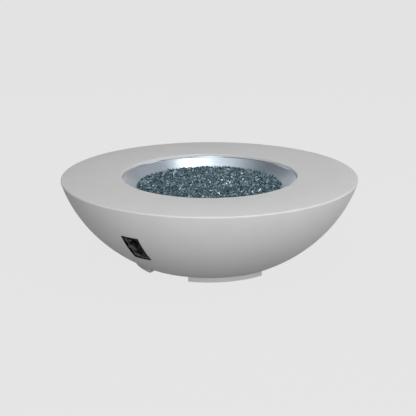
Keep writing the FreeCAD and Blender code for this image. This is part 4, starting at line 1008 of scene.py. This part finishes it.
def build_lamps(s):
    """Soft round lamps aimed at the middle of the bowl."""
    right, back = view_axes(s)
    forward = Vector((back.x, back.y, 0)).normalized()
    aim = Vector((0, 0, HEIGHT / 2))
    for name, near, aside, high, size, power in LAMPS:
        lamp = bpy.data.lights.new(name, "AREA")
        lamp.shape = "DISK"
        lamp.size = size
        lamp.energy = power
        thing = new_object(name, lamp)
        thing.location = forward * near + right * aside + Vector((0, 0, high))
        thing.rotation_euler = (aim - thing.location).to_track_quat("-Z", "Y").to_euler()
        thing.visible_camera = False


def build_camera(s):
    right, back = view_axes(s)
    aim = right * s.aim_right + Vector((0, 0, s.aim_up))
    camera = bpy.data.cameras.new("camera")
    camera.lens = s.lens_mm
    camera.sensor_width = SENSOR_MM
    thing = new_object("camera", camera)
    turn = back.to_track_quat("Z", "Y").to_matrix().to_4x4() @ Matrix.Rotation(s.roll, 4, "Z")
    thing.matrix_world = Matrix.Translation(aim + back * s.distance) @ turn
    bpy.context.scene.camera = thing


def build_floor(s):
    """Wide floor that shows the backdrop's colour but lights the object as a darker one would."""
    floor = rod("floor", FLOOR_R, -FLOOR_THICK, 0.0, segments=96)
    material = bpy.data.materials.new("pale_floor")
    tree = empty_tree(material)
    mixed = add(tree, "ShaderNodeMixShader", {
        0: seen_directly(tree, s.floor_glow),
        1: add(tree, "ShaderNodeBsdfDiffuse", {"Color": linear(s.floor)}),
        2: add(tree, "ShaderNodeEmission", {"Color": linear(s.backdrop)}),
    })
    add(tree, "ShaderNodeOutputMaterial", {"Surface": mixed})
    coat(floor, material)


def build_world(s):
    """Even fill light, and the backdrop's colour where it is seen; mirrors show the ceiling overhead."""
    bpy.context.scene.view_settings.view_transform = "Standard"
    world = bpy.data.worlds.new("studio")
    bpy.context.scene.world = world
    tree = empty_tree(world)
    backdrop = linear(s.backdrop)
    rise = add(tree, "ShaderNodeSeparateXYZ", {
        "Vector": add(tree, "ShaderNodeTexCoord").outputs["Generated"],
    }).outputs["Z"]
    # sine of the height where the ceiling's colour starts, and where it is full
    share = add(tree, "ShaderNodeMapRange", {"Value": rise, "From Min": 0.1, "From Max": 0.6},
                interpolation_type="SMOOTHSTEP")
    mirrored = add(tree, "ShaderNodeMix", {0: share, 6: backdrop, 7: linear(s.ceiling)}, data_type="RGBA")
    glossy = add(tree, "ShaderNodeLightPath").outputs["Is Glossy Ray"]
    seen = add(tree, "ShaderNodeMix", {0: glossy, 6: backdrop, 7: mirrored}, data_type="RGBA")
    mixed = add(tree, "ShaderNodeMixShader", {
        0: seen_directly(tree),
        1: add(tree, "ShaderNodeBackground", {"Color": (1, 1, 1, 1), "Strength": s.fill}),
        2: add(tree, "ShaderNodeBackground", {"Color": seen}),
    })
    add(tree, "ShaderNodeOutputWorld", {"Surface": mixed})


# ---- operators ----
class FIREBOWL_OT_stage(bpy.types.Operator):
    """Set up the camera, soft lamps, world and floor"""

    bl_idname = "firebowl.stage"
    bl_label = "Stage"

    def execute(self, context):
        settings = context.scene.firebowl_stage
        build_camera(settings)
        build_world(settings)
        build_lamps(settings)
        build_floor(settings)
        return {"FINISHED"}


class FIREBOWL_OT_finishes(bpy.types.Operator):
    """Give each of the frame's own nodes the finish of its slot"""

    bl_idname = "firebowl.finishes"
    bl_label = "Finishes"

    def execute(self, context):
        slots = {part["node"]: part["material_slot"] for part in frame["record"]["subparts"]}
        for name, thing in frame["nodes"].items():
            coat(thing, finish(SLOT_FINISH[slots[name]]))
        return {"FINISHED"}


class FIREBOWL_OT_shell(bpy.types.Operator):
    """Build the cast shell"""

    bl_idname = "firebowl.shell"
    bl_label = "Shell"

    def execute(self, context):
        build_shell(context.scene.firebowl_shell)
        return {"FINISHED"}


class FIREBOWL_OT_pan(bpy.types.Operator):
    """Build the spun pan"""

    bl_idname = "firebowl.pan"
    bl_label = "Pan"

    def execute(self, context):
        build_pan(context.scene.firebowl_pan)
        return {"FINISHED"}


class FIREBOWL_OT_glass(bpy.types.Operator):
    """Fill the pan with crushed glass"""

    bl_idname = "firebowl.glass"
    bl_label = "Crushed glass"

    def execute(self, context):
        build_glass(context.scene.firebowl_glass)
        return {"FINISHED"}


class FIREBOWL_OT_controls(bpy.types.Operator):
    """Build the knob, the igniter, their springs, and the panel's screws and printing"""

    bl_idname = "firebowl.controls"
    bl_label = "Controls"

    def execute(self, context):
        settings = context.scene.firebowl_controls
        build_knob(settings)
        build_igniter(settings)
        build_springs()
        build_screws(settings)
        build_printing(settings)
        return {"FINISHED"}


OPERATORS = [
    FIREBOWL_OT_stage, FIREBOWL_OT_finishes, FIREBOWL_OT_shell, FIREBOWL_OT_pan, FIREBOWL_OT_glass,
    FIREBOWL_OT_controls,
]
SETTINGS = {
    "firebowl_shell": ShellSettings, "firebowl_pan": PanSettings, "firebowl_glass": GlassSettings,
    "firebowl_controls": ControlSettings, "firebowl_stage": StageSettings,
}


class FIREBOWL_PT_sidebar(bpy.types.Panel):
    """Lists the steps and their settings"""

    bl_idname = "FIREBOWL_PT_sidebar"
    bl_label = "Fire Bowl"
    bl_space_type = "VIEW_3D"
    bl_region_type = "UI"
    bl_category = "Fire Bowl"

    def draw(self, context):
        for operator in OPERATORS:
            self.layout.operator(operator.bl_idname)
        for name in SETTINGS:
            box = self.layout.box()
            group = getattr(context.scene, name)
            for key in group.__annotations__:
                box.prop(group, key)


def register():
    for group in SETTINGS.values():
        bpy.utils.register_class(group)
    for name, group in SETTINGS.items():
        setattr(bpy.types.Scene, name, bpy.props.PointerProperty(type=group))
    for cls in OPERATORS + [FIREBOWL_PT_sidebar]:
        bpy.utils.register_class(cls)


def unregister():
    for cls in [FIREBOWL_PT_sidebar] + OPERATORS[::-1]:
        bpy.utils.unregister_class(cls)
    for name in SETTINGS:
        delattr(bpy.types.Scene, name)
    for group in SETTINGS.values():
        bpy.utils.unregister_class(group)


def main():
    register()
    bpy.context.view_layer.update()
    for operator in OPERATORS:
        group, step = operator.bl_idname.split(".")
        getattr(getattr(bpy.ops, group), step)()


if __name__ == "__main__":
    main()
